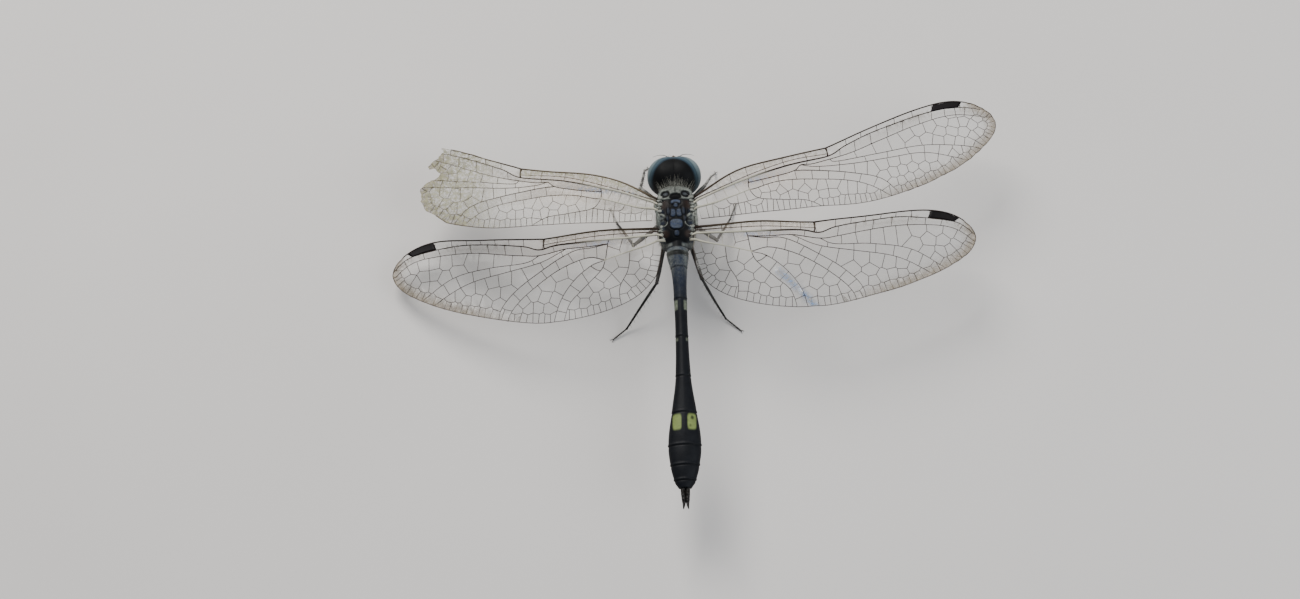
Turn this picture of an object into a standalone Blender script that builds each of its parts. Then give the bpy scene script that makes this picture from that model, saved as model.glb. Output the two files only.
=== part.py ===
"""A small skimmer dragonfly at life size, standing still with its wings spread.

Metres, +Z up. The head points along +Y, the tail along -Y, and the feet stand on z = 0.
The origin is on the floor, under the middle of the whole animal.
"""

import math

import bmesh
import bpy
from mathutils import Matrix, Vector

MM = 0.001
SEAM = 0.25 * MM  # clear space left between neighbouring pieces

# Thorax: a rounded box that leans slightly, carrying wings above and legs below.
THORAX_CENTRE = Vector((0.0, 0.15, 7.05)) * MM
THORAX_HALF = Vector((2.1, 3.15, 2.45)) * MM
THORAX_SQUARENESS = 3.2
THORAX_LEAN = -0.05

# Head: two great eyes that meet on top, round a face that juts out between them.
HEAD_WIDTH = 5.4 * MM
EYE_CENTRE = Vector((1.05, 5.4, 6.7)) * MM
EYE_HALF = Vector((HEAD_WIDTH / 2 - EYE_CENTRE.x, 1.95 * MM, 2.1 * MM))
EYE_SQUARENESS = 2.1
FACE_SQUARENESS = 2.4
SKULL_CENTRE = Vector((0.0, 5.35, 5.90)) * MM
SKULL_HALF = Vector((1.45, 1.45, 1.45)) * MM
FACE_LUMPS = (
    ("brow", (0.0, 6.65, 6.85), (1.15, 0.77, 0.85)),
    ("nose", (0.0, 6.65, 5.95), (1.25, 0.77, 0.50)),
    ("lip", (0.0, 6.40, 5.35), (1.30, 0.90, 0.60)),
    ("chin", (0.0, 5.75, 4.85), (1.30, 1.10, 0.60)),
)
FACE_ROOM_CENTRE = Vector((0.0, 6.2, 5.8)) * MM
FACE_ROOM_HALF = Vector((1.65, 1.9, 2.1)) * MM
NECK_CENTRE = Vector((0.0, 3.87, 6.3)) * MM
NECK_HALF = Vector((0.95, 0.36, 1.2)) * MM

# Abdomen: length, rear width and rear height of each of its ten rings.
ABDOMEN_FRONT = Vector((0.0, -3.2, 7.7)) * MM
ABDOMEN_FRONT_WIDTH = 2.2 * MM
ABDOMEN_FRONT_HEIGHT = 2.3 * MM
ABDOMEN_RINGS = (
    (0.60, 2.25, 2.50),
    (1.55, 1.50, 2.10),
    (3.40, 1.15, 1.55),
    (4.10, 1.20, 1.40),
    (4.25, 1.50, 1.40),
    (3.85, 2.60, 1.60),
    (3.45, 3.25, 1.75),
    (2.00, 2.70, 1.60),
    (1.50, 1.80, 1.25),
    (0.70, 1.35, 1.00),
)
ABDOMEN_ARCH = 0.25 * MM
ABDOMEN_DROOP = 0.45 * MM
CERCUS_LENGTH = 2.4 * MM

# Wings: root, then sweep, droop and nose-down pitch in degrees, as each one is held.
WING_THICKNESS = 0.5 * MM
FOREWING_ROOT = Vector((1.95, 1.95, 9.1)) * MM
HINDWING_ROOT = Vector((1.95, -1.25, 9.0)) * MM
WING_POSES = {
    "forewing_right": (13.0, 3.0, 3.0),
    "forewing_left": (11.0, 8.0, 3.0),
    "hindwing_right": (0.0, 3.0, 0.0),
    "hindwing_left": (1.5, 15.0, 0.0),
}

# Wing outlines as (along the span, towards the leading edge), in millimetres.
# The leading edge runs from the root to its kink at the nodus, then on to the tip.
NODUS = 2
FOREWING_LEADING = ((0.0, 0.1), (5.7, 2.0), (14.5, 2.15), (21.5, 3.6), (27.4, 4.3), (30.9, 3.1))
FOREWING_TRAILING = ((32.3, 0.7), (30.6, -1.5), (25.8, -3.75), (18.0, -4.9), (9.5, -3.75), (0.0, -2.5))
HINDWING_LEADING = ((0.0, 0.0), (6.0, 0.5), (12.0, 0.3), (18.5, 1.0), (23.8, 1.4), (26.9, 0.4))
HINDWING_TRAILING = (
    (28.3, -1.8), (26.4, -4.2), (20.5, -6.9), (11.8, -8.9), (4.2, -8.0), (0.4, -5.5), (-0.4, -2.2),
)
# The left forewing has lost its tip: a ragged edge replaces all beyond this much of the span.
TORN_SPAN = 23.2
TORN_EDGE = (
    (23.0, 3.7), (22.8, 2.9), (24.0, 1.3), (23.5, -0.3),
    (23.4, -1.4), (24.4, -2.0), (24.0, -2.9), (23.3, -3.6),
)
TORN_HOLE = Vector((23.0, 0.4)) * MM
TORN_HOLE_RADIUS = 0.35 * MM

# Legs: hip on the right side, then knee, ankle and toe of each leg as it stands.
HIPS = {"fore": (0.75, 3.0, 4.35), "mid": (0.95, 1.9, 4.1), "hind": (1.0, 0.7, 3.95)}
LEG_JOINTS = {
    "fore_left": ((-3.5, 5.0, 5.0), (-3.0, 8.3, 2.2), (-2.65, 9.4, 0.1)),
    "mid_left": ((-4.45, -0.7, 3.5), (-6.05, 3.1, 0.45), (-6.7, 4.9, 0.1)),
    "hind_left": ((-2.2, -5.2, 4.1), (-5.45, -8.65, 0.45), (-6.85, -9.65, 0.1)),
    "fore_right": ((3.1, 5.0, 5.0), (3.9, 7.4, 2.0), (4.4, 8.6, 0.1)),
    "mid_right": ((4.15, -0.5, 3.6), (5.7, 3.15, 0.45), (6.35, 4.9, 0.1)),
    "hind_right": ((2.4, -5.3, 5.0), (4.75, -7.95, 0.45), (6.25, -9.2, 0.1)),
}
FEMUR_RADIUS = 0.32 * MM
TIBIA_RADIUS = 0.26 * MM
TARSUS_RADIUS = 0.25 * MM
FEELER_RADIUS = 0.25 * MM
BAR_END = 0.5  # radius of a leg piece at its ends, as a share of its full radius

for old in list(bpy.data.objects):
    bpy.data.objects.remove(old, do_unlink=True)


def collection(name):
    made = bpy.data.collections.new(name)
    bpy.context.scene.collection.children.link(made)
    return made


PARTS = collection("dragonfly")
CUTTERS = collection("cutters")
BODY = bpy.data.objects.new("dragonfly_root", None)
PARTS.objects.link(BODY)


def finish(name, colour, roughness, alpha=1.0):
    """Plain finish of one kind of surface."""
    material = bpy.data.materials.new(name)
    material.use_nodes = True
    shader = material.node_tree.nodes["Principled BSDF"]
    shader.inputs["Base Color"].default_value = (*colour, 1.0)
    shader.inputs["Roughness"].default_value = roughness
    shader.inputs["Alpha"].default_value = alpha
    return material


THORAX_FINISH = finish("bloomed_thorax", (0.060, 0.075, 0.110), 0.55)
FACE_FINISH = finish("face_shell", (0.040, 0.055, 0.055), 0.35)
EYE_FINISH = finish("eye_lens", (0.020, 0.035, 0.045), 0.15)
ABDOMEN_FINISH = finish("abdomen_shell", (0.018, 0.022, 0.028), 0.45)
SPOTTED_FINISH = finish("spotted_ring", (0.060, 0.075, 0.035), 0.45)
LEG_FINISH = finish("leg_shell", (0.010, 0.010, 0.012), 0.40)
WING_FINISH = finish("wing_membrane", (0.550, 0.500, 0.430), 0.20, 0.35)


def place(name, data, material, group=PARTS):
    made = bpy.data.objects.new(name, data)
    group.objects.link(made)
    data.materials.append(material)
    made.parent = BODY
    if group is CUTTERS:
        made.hide_render = True
        made.display_type = "WIRE"
    return made


def mesh_from(name, shape):
    """Closes a bmesh into a smooth-shaded mesh with creases kept at sharp turns."""
    bmesh.ops.recalc_face_normals(shape, faces=shape.faces)
    mesh = bpy.data.meshes.new(name)
    shape.to_mesh(mesh)
    shape.free()
    mesh.shade_smooth()
    mesh.set_sharp_from_angle(angle=math.radians(40))
    return mesh


def rounded_block(name, centre, half, squareness=2.0, lean=0.0, around=18, up=12):
    """A ball pushed out towards a box: squareness 2 is an ellipsoid, more is boxier."""
    shape = bmesh.new()
    bmesh.ops.create_uvsphere(shape, u_segments=around, v_segments=up, radius=1.0)
    for point in shape.verts:
        reach = sum(abs(part) ** squareness for part in point.co) ** (1.0 / squareness)
        point.co = Vector(part * size / reach for part, size in zip(point.co, half))
        point.co.y += lean * point.co.z
        point.co += centre
    return mesh_from(name, shape)


def lofted(name, rings, sides=16):
    """A body lofted through rings of (centre, half width, half height), square to Y."""
    shape = bmesh.new()
    edges_before = []
    for order, (centre, half_width, half_height) in enumerate(rings):
        size = Matrix.Diagonal((half_width, half_height, 1.0, 1.0))
        turn = Matrix.Rotation(math.radians(90), 4, "X")
        ring = bmesh.ops.create_circle(
            shape, cap_ends=order in (0, len(rings) - 1), segments=sides, radius=1.0,
            matrix=Matrix.Translation(centre) @ turn @ size,
        )
        edges = list({edge for point in ring["verts"] for edge in point.link_edges})
        if edges_before:
            bmesh.ops.bridge_loops(shape, edges=edges_before + edges)
        edges_before = edges
    return mesh_from(name, shape)


def tube(name, points, radii, material):
    """A round bar through the points, as thick at each as its radius says."""
    curve = bpy.data.curves.new(name, "CURVE")
    curve.dimensions = "3D"
    curve.bevel_depth = 1.0
    curve.bevel_resolution = 1
    curve.use_fill_caps = True
    spline = curve.splines.new("POLY")
    spline.points.add(len(points) - 1)
    for knot, point, radius in zip(spline.points, points, radii):
        knot.co = (*point, 1.0)
        knot.radius = radius
    return place(name, curve, material)


def cut(target, cutter):
    boolean = target.modifiers.new(cutter.name, "BOOLEAN")
    boolean.operation = "DIFFERENCE"
    boolean.object = cutter


def mirrored(point, side):
    return Vector((point.x * side, point.y, point.z))


# Thorax and neck.
place("thorax", rounded_block(
    "thorax", THORAX_CENTRE, THORAX_HALF, THORAX_SQUARENESS, THORAX_LEAN, around=24, up=14), THORAX_FINISH)
place("prothorax", rounded_block("prothorax", NECK_CENTRE, NECK_HALF, 2.5), THORAX_FINISH)

# The back of the head is hollowed to take the neck.
HOLLOW = place("neck_hollow", rounded_block(
    "neck_hollow", NECK_CENTRE - Vector((0.0, 0.3, 0.0)) * MM,
    NECK_HALF + Vector((0.35, 0.55, 0.35)) * MM, 2.5), THORAX_FINISH, CUTTERS)

# Head: skull, brow, nose, lip and chin swell out of one another.
skull = rounded_block("skull", SKULL_CENTRE, SKULL_HALF, FACE_SQUARENESS, around=20, up=12)
head = place("head", skull, FACE_FINISH)
cut(head, HOLLOW)
for name, centre, half in FACE_LUMPS:
    lump = rounded_block(name, Vector(centre) * MM, Vector(half) * MM, FACE_SQUARENESS, around=20, up=10)
    union = head.modifiers.new(name, "BOOLEAN")
    union.operation = "UNION"
    union.object = place(name, lump, FACE_FINISH, CUTTERS)

# Eyes: each is most of an egg, sliced where it meets its twin and hollowed to sit round the face.
clear = Vector((SEAM, SEAM, SEAM))
SKULL_ROOM = place("skull_room", rounded_block(
    "skull_room", SKULL_CENTRE, SKULL_HALF + clear, FACE_SQUARENESS, around=24, up=14), EYE_FINISH, CUTTERS)
FACE_ROOM = place("face_room", rounded_block(
    "face_room", FACE_ROOM_CENTRE, FACE_ROOM_HALF, FACE_SQUARENESS, around=28, up=18), EYE_FINISH, CUTTERS)
for name, side in (("eye_left", -1), ("eye_right", 1)):
    egg = rounded_block(name, mirrored(EYE_CENTRE, side), EYE_HALF, EYE_SQUARENESS, around=24, up=16)
    half = bmesh.new()
    half.from_mesh(egg)
    geometry = half.verts[:] + half.edges[:] + half.faces[:]
    sliced = bmesh.ops.bisect_plane(
        half, geom=geometry, plane_co=(side * SEAM / 2, 0, 0), plane_no=(-side, 0, 0), clear_outer=True)
    rim = [part for part in sliced["geom_cut"] if isinstance(part, bmesh.types.BMEdge)]
    bmesh.ops.edgeloop_fill(half, edges=rim)
    eye = place(name, mesh_from(name, half), EYE_FINISH)
    for room in (HOLLOW, SKULL_ROOM, FACE_ROOM):
        cut(eye, room)

# Feelers: short bristles that spring from between the eyes.
for name, side in (("antenna_left", -1), ("antenna_right", 1)):
    path = [mirrored(Vector(point) * MM, side) for point in
            ((0.40, 7.85, 7.00), (1.00, 7.85, 6.90), (1.95, 7.60, 6.50))]
    tube(name, path, (FEELER_RADIUS * 0.9, FEELER_RADIUS, FEELER_RADIUS * 0.8), LEG_FINISH)

# Abdomen: ten rings, narrow at the waist and clubbed near the end.
ABDOMEN_LENGTH = sum(ring[0] for ring in ABDOMEN_RINGS) * MM


def abdomen_centre(run):
    """Middle of the abdomen at a distance behind its front: slightly arched, then drooping."""
    share = run / ABDOMEN_LENGTH
    lift = ABDOMEN_ARCH * math.sin(math.pi * share) - ABDOMEN_DROOP * share ** 2
    return ABDOMEN_FRONT + Vector((0.0, -run, lift))


def abdomen_ring(name, start, length, front, rear):
    """One ring from its front (width, height) to its rear, with lipped ends."""
    sections = []
    stations = ((0.0, 0.93), (0.12, 0.99), (0.5, 1.01), (0.9, 1.03), (1.0, 0.96))
    for share, swell in stations:
        run = start + SEAM / 2 + (length - SEAM) * share
        half = [(a + (b - a) * share) * swell / 2 for a, b in zip(front, rear)]
        sections.append((abdomen_centre(run), *half))
    return lofted(name, sections)


run = 0.0
front = (ABDOMEN_FRONT_WIDTH, ABDOMEN_FRONT_HEIGHT)
for number, (length, width, height) in enumerate(ABDOMEN_RINGS, start=1):
    rear = (width * MM, height * MM)
    ring = abdomen_ring(f"abdomen_{number}", run, length * MM, front, rear)
    place(f"abdomen_{number}", ring, SPOTTED_FINISH if number == 7 else ABDOMEN_FINISH)
    run += length * MM
    front = rear

# Claspers: two slim upper ones that part at their tips, and a short one below them.
TAIL = abdomen_centre(ABDOMEN_LENGTH)
for name, side in (("cercus_left", -1), ("cercus_right", 1)):
    path = [TAIL + Vector((side * x * MM, -SEAM - CERCUS_LENGTH * share, z * MM))
            for share, x, z in ((0.0, 0.36, 0.15), (0.3, 0.33, 0.22), (0.7, 0.20, 0.15), (1.0, 0.24, 0.05))]
    tube(name, path, [size * MM for size in (0.25, 0.25, 0.14, 0.08)], ABDOMEN_FINISH)
path = [TAIL + Vector((0.0, -SEAM - CERCUS_LENGTH * share, -0.45 * MM)) for share in (0.0, 0.25, 0.6)]
tube("epiproct", path, [size * MM for size in (0.25, 0.28, 0.16)], ABDOMEN_FINISH)


def wing(name, side, root, leading, trailing, torn=None, hole=None):
    """A flat blade cut to its outline, hinged at the root and turned to the angle it is held at."""
    curve = bpy.data.curves.new(name, "CURVE")
    curve.dimensions = "2D"
    curve.fill_mode = "BOTH"
    curve.extrude = WING_THICKNESS / 2
    curve.resolution_u = 5
    torn = torn or ()
    if torn:
        leading = [point for point in leading if point[0] < TORN_SPAN - 1.0]
        trailing = [point for point in trailing if point[0] < TORN_SPAN - 1.0]
    outline = (*leading, *torn, *trailing)
    spline = curve.splines.new("BEZIER")
    spline.use_cyclic_u = True
    spline.bezier_points.add(len(outline) - 1)
    corners = {0, NODUS, len(outline) - 1, *range(len(leading), len(leading) + len(torn))}
    for order, (knot, point) in enumerate(zip(spline.bezier_points, outline)):
        knot.co = (side * point[0] * MM, point[1] * MM, 0.0)
        kind = "VECTOR" if order in corners else "AUTO"
        knot.handle_left_type = kind
        knot.handle_right_type = kind
    if hole:
        ring = curve.splines.new("POLY")
        ring.use_cyclic_u = True
        ring.points.add(7)
        for order, knot in enumerate(ring.points):
            angle = math.tau * order / len(ring.points)
            knot.co = (side * (hole.x + TORN_HOLE_RADIUS * math.cos(angle)),
                       hole.y + TORN_HOLE_RADIUS * math.sin(angle), 0.0, 1.0)
    made = place(name, curve, WING_FINISH)
    sweep, droop, pitch = (math.radians(angle) for angle in WING_POSES[name])
    made.location = mirrored(root, side)
    made.rotation_euler = (-pitch, side * droop, side * sweep)


wing("forewing_right", 1, FOREWING_ROOT, FOREWING_LEADING, FOREWING_TRAILING)
wing("forewing_left", -1, FOREWING_ROOT, FOREWING_LEADING, FOREWING_TRAILING, TORN_EDGE, TORN_HOLE)
wing("hindwing_right", 1, HINDWING_ROOT, HINDWING_LEADING, HINDWING_TRAILING)
wing("hindwing_left", -1, HINDWING_ROOT, HINDWING_LEADING, HINDWING_TRAILING)


def trim(before, joint, after, radius):
    """How far a bar stops short of a joint, so that two bars that meet at an angle stay clear."""
    bend = (joint - before).angle(after - joint)
    return SEAM / 2 + radius * math.tan(bend / 2)


def leg_bar(name, start, end, start_trim, end_trim, radius, taper):
    """A tapered bar between two joints, rounded off just short of each."""
    along = (end - start).normalized()
    first = start + along * start_trim
    last = end - along * end_trim
    shoulder = along * radius
    path = (first, first + shoulder, last - shoulder, last)
    tube(name, path, [size * radius for size in (BAR_END, 1.0, taper, BAR_END)], LEG_FINISH)


def foot(name, ankle, toe, ankle_trim):
    """The last piece of a leg, trimmed flat where it stands on the floor."""
    along = (toe - ankle).normalized()
    start = ankle + along * ankle_trim
    shape = bmesh.new()
    turn = along.to_track_quat("Z", "Y").to_matrix().to_4x4()
    bmesh.ops.create_cone(
        shape, cap_ends=True, segments=10, radius1=TARSUS_RADIUS * 0.7, radius2=TARSUS_RADIUS,
        depth=(toe - start).length, matrix=Matrix.Translation((start + toe) / 2) @ turn)
    geometry = shape.verts[:] + shape.edges[:] + shape.faces[:]
    sliced = bmesh.ops.bisect_plane(
        shape, geom=geometry, plane_co=(0, 0, 0), plane_no=(0, 0, -1), clear_outer=True)
    rim = [part for part in sliced["geom_cut"] if isinstance(part, bmesh.types.BMEdge)]
    bmesh.ops.edgeloop_fill(shape, edges=rim)
    place(name, mesh_from(name, shape), LEG_FINISH)


for leg, joints in LEG_JOINTS.items():
    pair, side_name = leg.split("_")
    side = 1 if side_name == "right" else -1
    hip = mirrored(Vector(HIPS[pair]) * MM, side)
    knee, ankle, toe = (Vector(joint) * MM for joint in joints)
    knee_trim = trim(hip, knee, ankle, FEMUR_RADIUS * BAR_END)
    ankle_trim = trim(knee, ankle, toe, TIBIA_RADIUS * BAR_END)
    leg_bar(f"femur_{leg}", hip, knee, 0.0, knee_trim, FEMUR_RADIUS, 0.85)
    leg_bar(f"tibia_{leg}", knee, ankle, knee_trim, ankle_trim, TIBIA_RADIUS, 0.97)
    foot(f"tarsus_{leg}", ankle, toe, ankle_trim)

# The whole animal is set over the origin, midway between its furthest reaches.
bpy.context.view_layer.update()
DEPSGRAPH = bpy.context.evaluated_depsgraph_get()
reach = []
for piece in PARTS.objects:
    if piece.type != "EMPTY":
        solid = piece.evaluated_get(DEPSGRAPH)
        reach += [solid.matrix_world @ point.co for point in solid.to_mesh().vertices]
        solid.to_mesh_clear()
BODY.location = [-(min(axis) + max(axis)) / 2 for axis in list(zip(*reach))[:2]] + [0.0]
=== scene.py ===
"""The looks of a small skimmer dragonfly at rest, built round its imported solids.

Sizes are in millimetres in the body's own frame: x to the animal's right, y to its head, z up
from the floor. Each finished piece is then taken to where the solids stand, in metres.
"""

import math

import bmesh
import bpy
import numpy as np
from mathutils import Euler, Matrix, Vector, geometry


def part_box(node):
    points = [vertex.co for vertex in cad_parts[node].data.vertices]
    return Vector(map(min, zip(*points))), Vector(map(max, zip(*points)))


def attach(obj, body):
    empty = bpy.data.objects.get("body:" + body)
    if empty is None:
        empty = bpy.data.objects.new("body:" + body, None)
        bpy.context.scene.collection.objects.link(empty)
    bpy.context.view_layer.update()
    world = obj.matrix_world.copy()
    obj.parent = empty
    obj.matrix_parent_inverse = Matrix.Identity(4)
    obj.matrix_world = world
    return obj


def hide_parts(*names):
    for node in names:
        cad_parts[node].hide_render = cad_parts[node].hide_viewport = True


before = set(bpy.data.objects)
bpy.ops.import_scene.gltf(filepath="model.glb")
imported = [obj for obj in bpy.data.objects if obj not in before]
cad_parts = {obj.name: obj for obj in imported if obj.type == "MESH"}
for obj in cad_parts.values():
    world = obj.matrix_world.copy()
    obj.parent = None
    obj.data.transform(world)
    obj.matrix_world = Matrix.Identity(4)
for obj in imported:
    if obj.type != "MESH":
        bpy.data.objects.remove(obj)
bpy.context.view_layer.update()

# ---- Body skin ----------------------------------------------------------------------------
# The horny skin of head, neck, thorax and abdomen: dark plates, dusted with a blue-grey bloom,
# that meet in fine seams. It is one shell over the whole body, and all else is fixed to it.

MM = 0.001
THORAX_MIDDLE = Vector((0.0, 0.15, 7.05))
THORAX_HALF = (2.02, 3.1, 2.4)
THORAX_LEAN, BREAST_NARROWING = 0.05, 0.30
THORAX_BOX = [Vector(corner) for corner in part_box("thorax")]
TO_SOLIDS = (Matrix.Translation(sum(THORAX_BOX, Vector()) / 2 - THORAX_MIDDLE * MM)
             @ Matrix.Scale(MM, 4))

# The abdomen from its front: each ring's length, its width and height at its rear, and how much
# it swells half way.
WAIST = Vector((0.0, -3.2, 7.7))
WAIST_SIZE = (2.2, 2.3)
RINGS = (
    (0.60, 2.25, 2.50, 0.00),
    (1.55, 1.66, 2.10, 0.04),
    (3.40, 1.36, 1.55, -0.12),
    (4.05, 1.33, 1.40, -0.07),
    (4.20, 1.58, 1.40, -0.06),
    (3.80, 2.58, 1.60, -0.05),
    (3.40, 3.32, 1.75, 0.17),
    (2.00, 2.88, 1.60, 0.09),
    (1.50, 2.15, 1.25, 0.05),
    (0.70, 1.30, 1.00, 0.04),
)
ABDOMEN_LENGTH = sum(ring[0] for ring in RINGS)
JOINTS = [WAIST.y - sum(ring[0] for ring in RINGS[:number]) for number in range(len(RINGS) + 1)]
ARCH, DROOP = 0.25, 0.45
INSIDE_THORAX = 0.6
SLICES = 300
SLIMMER = 0.985
KEEL, KEEL_ANGLE = 0.012, 0.22
FLATTER_BELLY = 0.9
SKIN_GRAIN = 0.068

# Lumps that swell out of one another to make the collar, neck and face: centre, half size and
# squareness.
LUMPS = (
    ((0.0, 2.35, 8.73), (1.72, 0.95, 0.73), 2.4),
    ((0.0, 3.75, 6.3), (0.90, 0.75, 1.15), 2.5),
    ((0.0, 5.35, 5.9), (1.42, 1.45, 1.40), 2.4),
    ((0.0, 6.10, 5.75), (1.58, 0.98, 1.75), 2.4),
    ((0.0, 6.83, 6.45), (1.22, 0.77, 0.72), 2.5),
    ((0.0, 6.65, 5.95), (1.25, 0.75, 0.50), 2.4),
    ((0.0, 6.40, 5.35), (1.30, 0.88, 0.60), 2.4),
    ((0.0, 5.75, 4.87), (1.30, 1.10, 0.60), 2.4),
    ((0.0, 6.95, 7.32), (0.40, 0.47, 0.42), 2.2),
)


def ball(shape, centre, half, squareness=2.0, around=40, up=24):
    """Adds a rounded block to a shape: squareness 2 is an egg, and more is boxier."""
    made = bmesh.ops.create_uvsphere(shape, u_segments=around, v_segments=up, radius=1.0)["verts"]
    for point in made:
        reach = sum(abs(part) ** squareness for part in point.co) ** (1.0 / squareness)
        out = Vector(part * size / reach for part, size in zip(point.co, half))
        point.co = Vector(centre) + out
    return made


def mesh_of(name, shape):
    """Closes a shape into a mesh with its faces outward."""
    bmesh.ops.recalc_face_normals(shape, faces=shape.faces)
    mesh = bpy.data.meshes.new(name)
    shape.to_mesh(mesh)
    shape.free()
    return mesh


def numbers(items, name, width=3):
    """What a mesh keeps for each vertex or face: a row of numbers for each."""
    rows = np.empty(len(items) * width, np.float32)
    items.foreach_get(name, rows)
    return rows.reshape(-1, width).astype(float)


def counts(items, name):
    """A whole number that a mesh keeps for each corner or face."""
    row = np.empty(len(items), np.int32)
    items.foreach_get(name, row)
    return row


def move(mesh, places):
    """Takes every vertex of a mesh to a new place."""
    mesh.vertices.foreach_set("co", places.astype(np.float32).ravel())


def paint(mesh, name, strength):
    """Keeps a strength for each vertex of a mesh, for its material to read."""
    kept = mesh.attributes.new(name, "FLOAT", "POINT")
    kept.data.foreach_set("value", strength.astype(np.float32))


def lay_out(mesh, layout):
    """Gives each corner of a mesh its place on the flat sheet that holds its finish."""
    mesh.uv_layers.new(name="OFBake").data.foreach_set("uv", layout.astype(np.float32).ravel())


def link(name, data):
    """A new object in the scene."""
    made = bpy.data.objects.new(name, data)
    bpy.context.scene.collection.objects.link(made)
    return made


def piece(name, mesh, material, smooth=True):
    """Stands a finished mesh among the solids as a piece of the body."""
    mesh.transform(TO_SOLIDS)
    if smooth:
        mesh.shade_smooth()
    mesh.materials.append(material)
    made = link(name, mesh)
    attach(made, "root")
    return made


def soft_step(low, high, values):
    """0 below low, 1 above high, and a soft rise between."""
    share = np.clip((values - low) / (high - low), 0.0, 1.0)
    return share * share * (3.0 - 2.0 * share)


def hump(away, width, power=2):
    """1 where the distance away is 0, falling softly to 0 on both sides."""
    return np.exp(-(away / width) ** power)


def abdomen_middle(run):
    """Middle of the abdomen at a distance behind its front: slightly arched, then drooping."""
    share = run / ABDOMEN_LENGTH
    return WAIST + Vector((0.0, -run, ARCH * math.sin(math.pi * share) - DROOP * share ** 2))


def abdomen_bend(run):
    """How far the abdomen strays sideways there: a little right, then left at the tail."""
    share = run / ABDOMEN_LENGTH
    return 0.10 * soft_step(0.0, 0.12, share) - 0.31 * share ** 3


def abdomen_size(run):
    """Width and height of the abdomen there: rings that swell a little and pinch at their ends."""
    start, front = 0.0, WAIST_SIZE
    for length, *rear, swell in RINGS:
        if run <= start + length + 1e-6:
            share = (run - start) / length
            eased = 0.6 * share + 0.4 * share ** 2 * (3 - 2 * share)
            return [a + (b - a) * eased + swell * math.sin(math.pi * share)
                    for a, b in zip(front, rear)]
        start, front = start + length, rear
    return front


skin = bmesh.new()
for point in ball(skin, THORAX_MIDDLE, THORAX_HALF, 3.1, around=64, up=40):
    height = point.co.z - THORAX_MIDDLE.z
    point.co.y -= THORAX_LEAN * height
    narrowing = max(0.0, -height - 0.4) / 2.0
    point.co.x *= 1.0 - BREAST_NARROWING * narrowing ** 2
for centre, half, squareness in LUMPS:
    ball(skin, centre, half, squareness)
tail = bmesh.new()
ring = bmesh.ops.create_circle(tail, cap_ends=False, segments=48, radius=1.0)["verts"]
bmesh.ops.spin(tail, geom=list({edge for point in ring for edge in point.link_edges}), angle=0.0,
               steps=SLICES, dvec=(0.0, 0.0, -1.0 / SLICES), axis=(0, 0, 1), cent=(0, 0, 0))
bmesh.ops.holes_fill(tail, edges=[edge for edge in tail.edges if edge.is_boundary], sides=0)
for point in tail.verts:
    run = -point.co.z * (ABDOMEN_LENGTH + INSIDE_THORAX) - INSIDE_THORAX
    width, height = abdomen_size(max(run, 0.0))
    middle = abdomen_middle(max(run, 0.0))
    flatter = FLATTER_BELLY if point.co.y < 0 else 1.0
    keel = KEEL * max(0.0, 1.0 - abs(math.atan2(point.co.x, point.co.y)) / KEEL_ANGLE)
    point.co = Vector((point.co.x * width / 2 * SLIMMER, WAIST.y - run,
                       middle.z + point.co.y * height / 2 * SLIMMER * flatter + keel))
skin.from_mesh(mesh_of("tail", tail))

# The lumps grow into one skin.
draft = link("draft", mesh_of("hull", skin))
remesh = draft.modifiers.new("one_skin", "REMESH")
remesh.mode, remesh.voxel_size = "VOXEL", SKIN_GRAIN
hull = bpy.data.meshes.new_from_object(
    draft.evaluated_get(bpy.context.evaluated_depsgraph_get()))
bpy.data.objects.remove(draft)

spots = numbers(hull.vertices, "co")
facing = numbers(hull.vertex_normals, "vector")
X, Y, Z = spots.T
THORAX_FRONT = 3.45
ABOVE = soft_step(0.0, 0.35, facing[:, 2])
ON_BACK = ABOVE * soft_step(7.6, 8.2, Z) * (Y < THORAX_FRONT) * (Y > WAIST.y)
ON_FLANK = soft_step(0.35, 0.6, np.abs(facing[:, 0])) * (Y < 3.3) * (Y > -3.1) * (Z > 4.6)
ON_ABDOMEN = soft_step(-3.15, -3.3, Y)
ON_FACE = soft_step(5.2, 5.6, Y)
HIGH = soft_step(7.9, 8.3, Z)


def patch(middle, half, squareness=2.6, edge=0.10, turn=0.0):
    """How far each point lies within a rounded patch seen from above: 1 inside, 0 outside.
    A patch off the middle line is made on both sides."""
    c, s = math.cos(turn), math.sin(turn)
    across, along = (np.abs(X) if middle[0] > 0 else X) - middle[0], Y - middle[1]
    across, along = c * across + s * along, c * along - s * across
    reach = (np.abs(across) / half[0]) ** squareness + (np.abs(along) / half[1]) ** squareness
    reach = reach ** (1.0 / squareness)
    return 1.0 - soft_step(1.0 - edge / half[0], 1.0 + edge / half[0], reach)


masks = {name: np.zeros(len(spots)) for name in ("bloom", "pale", "amber", "spot", "seam")}
rise = np.zeros(len(spots))


def lay(mask, strength, over=0.0):
    """Lays a mask on the skin, and first thins what it lies over."""
    masks[mask] = np.maximum(masks[mask] * (1 - over), strength)


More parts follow.
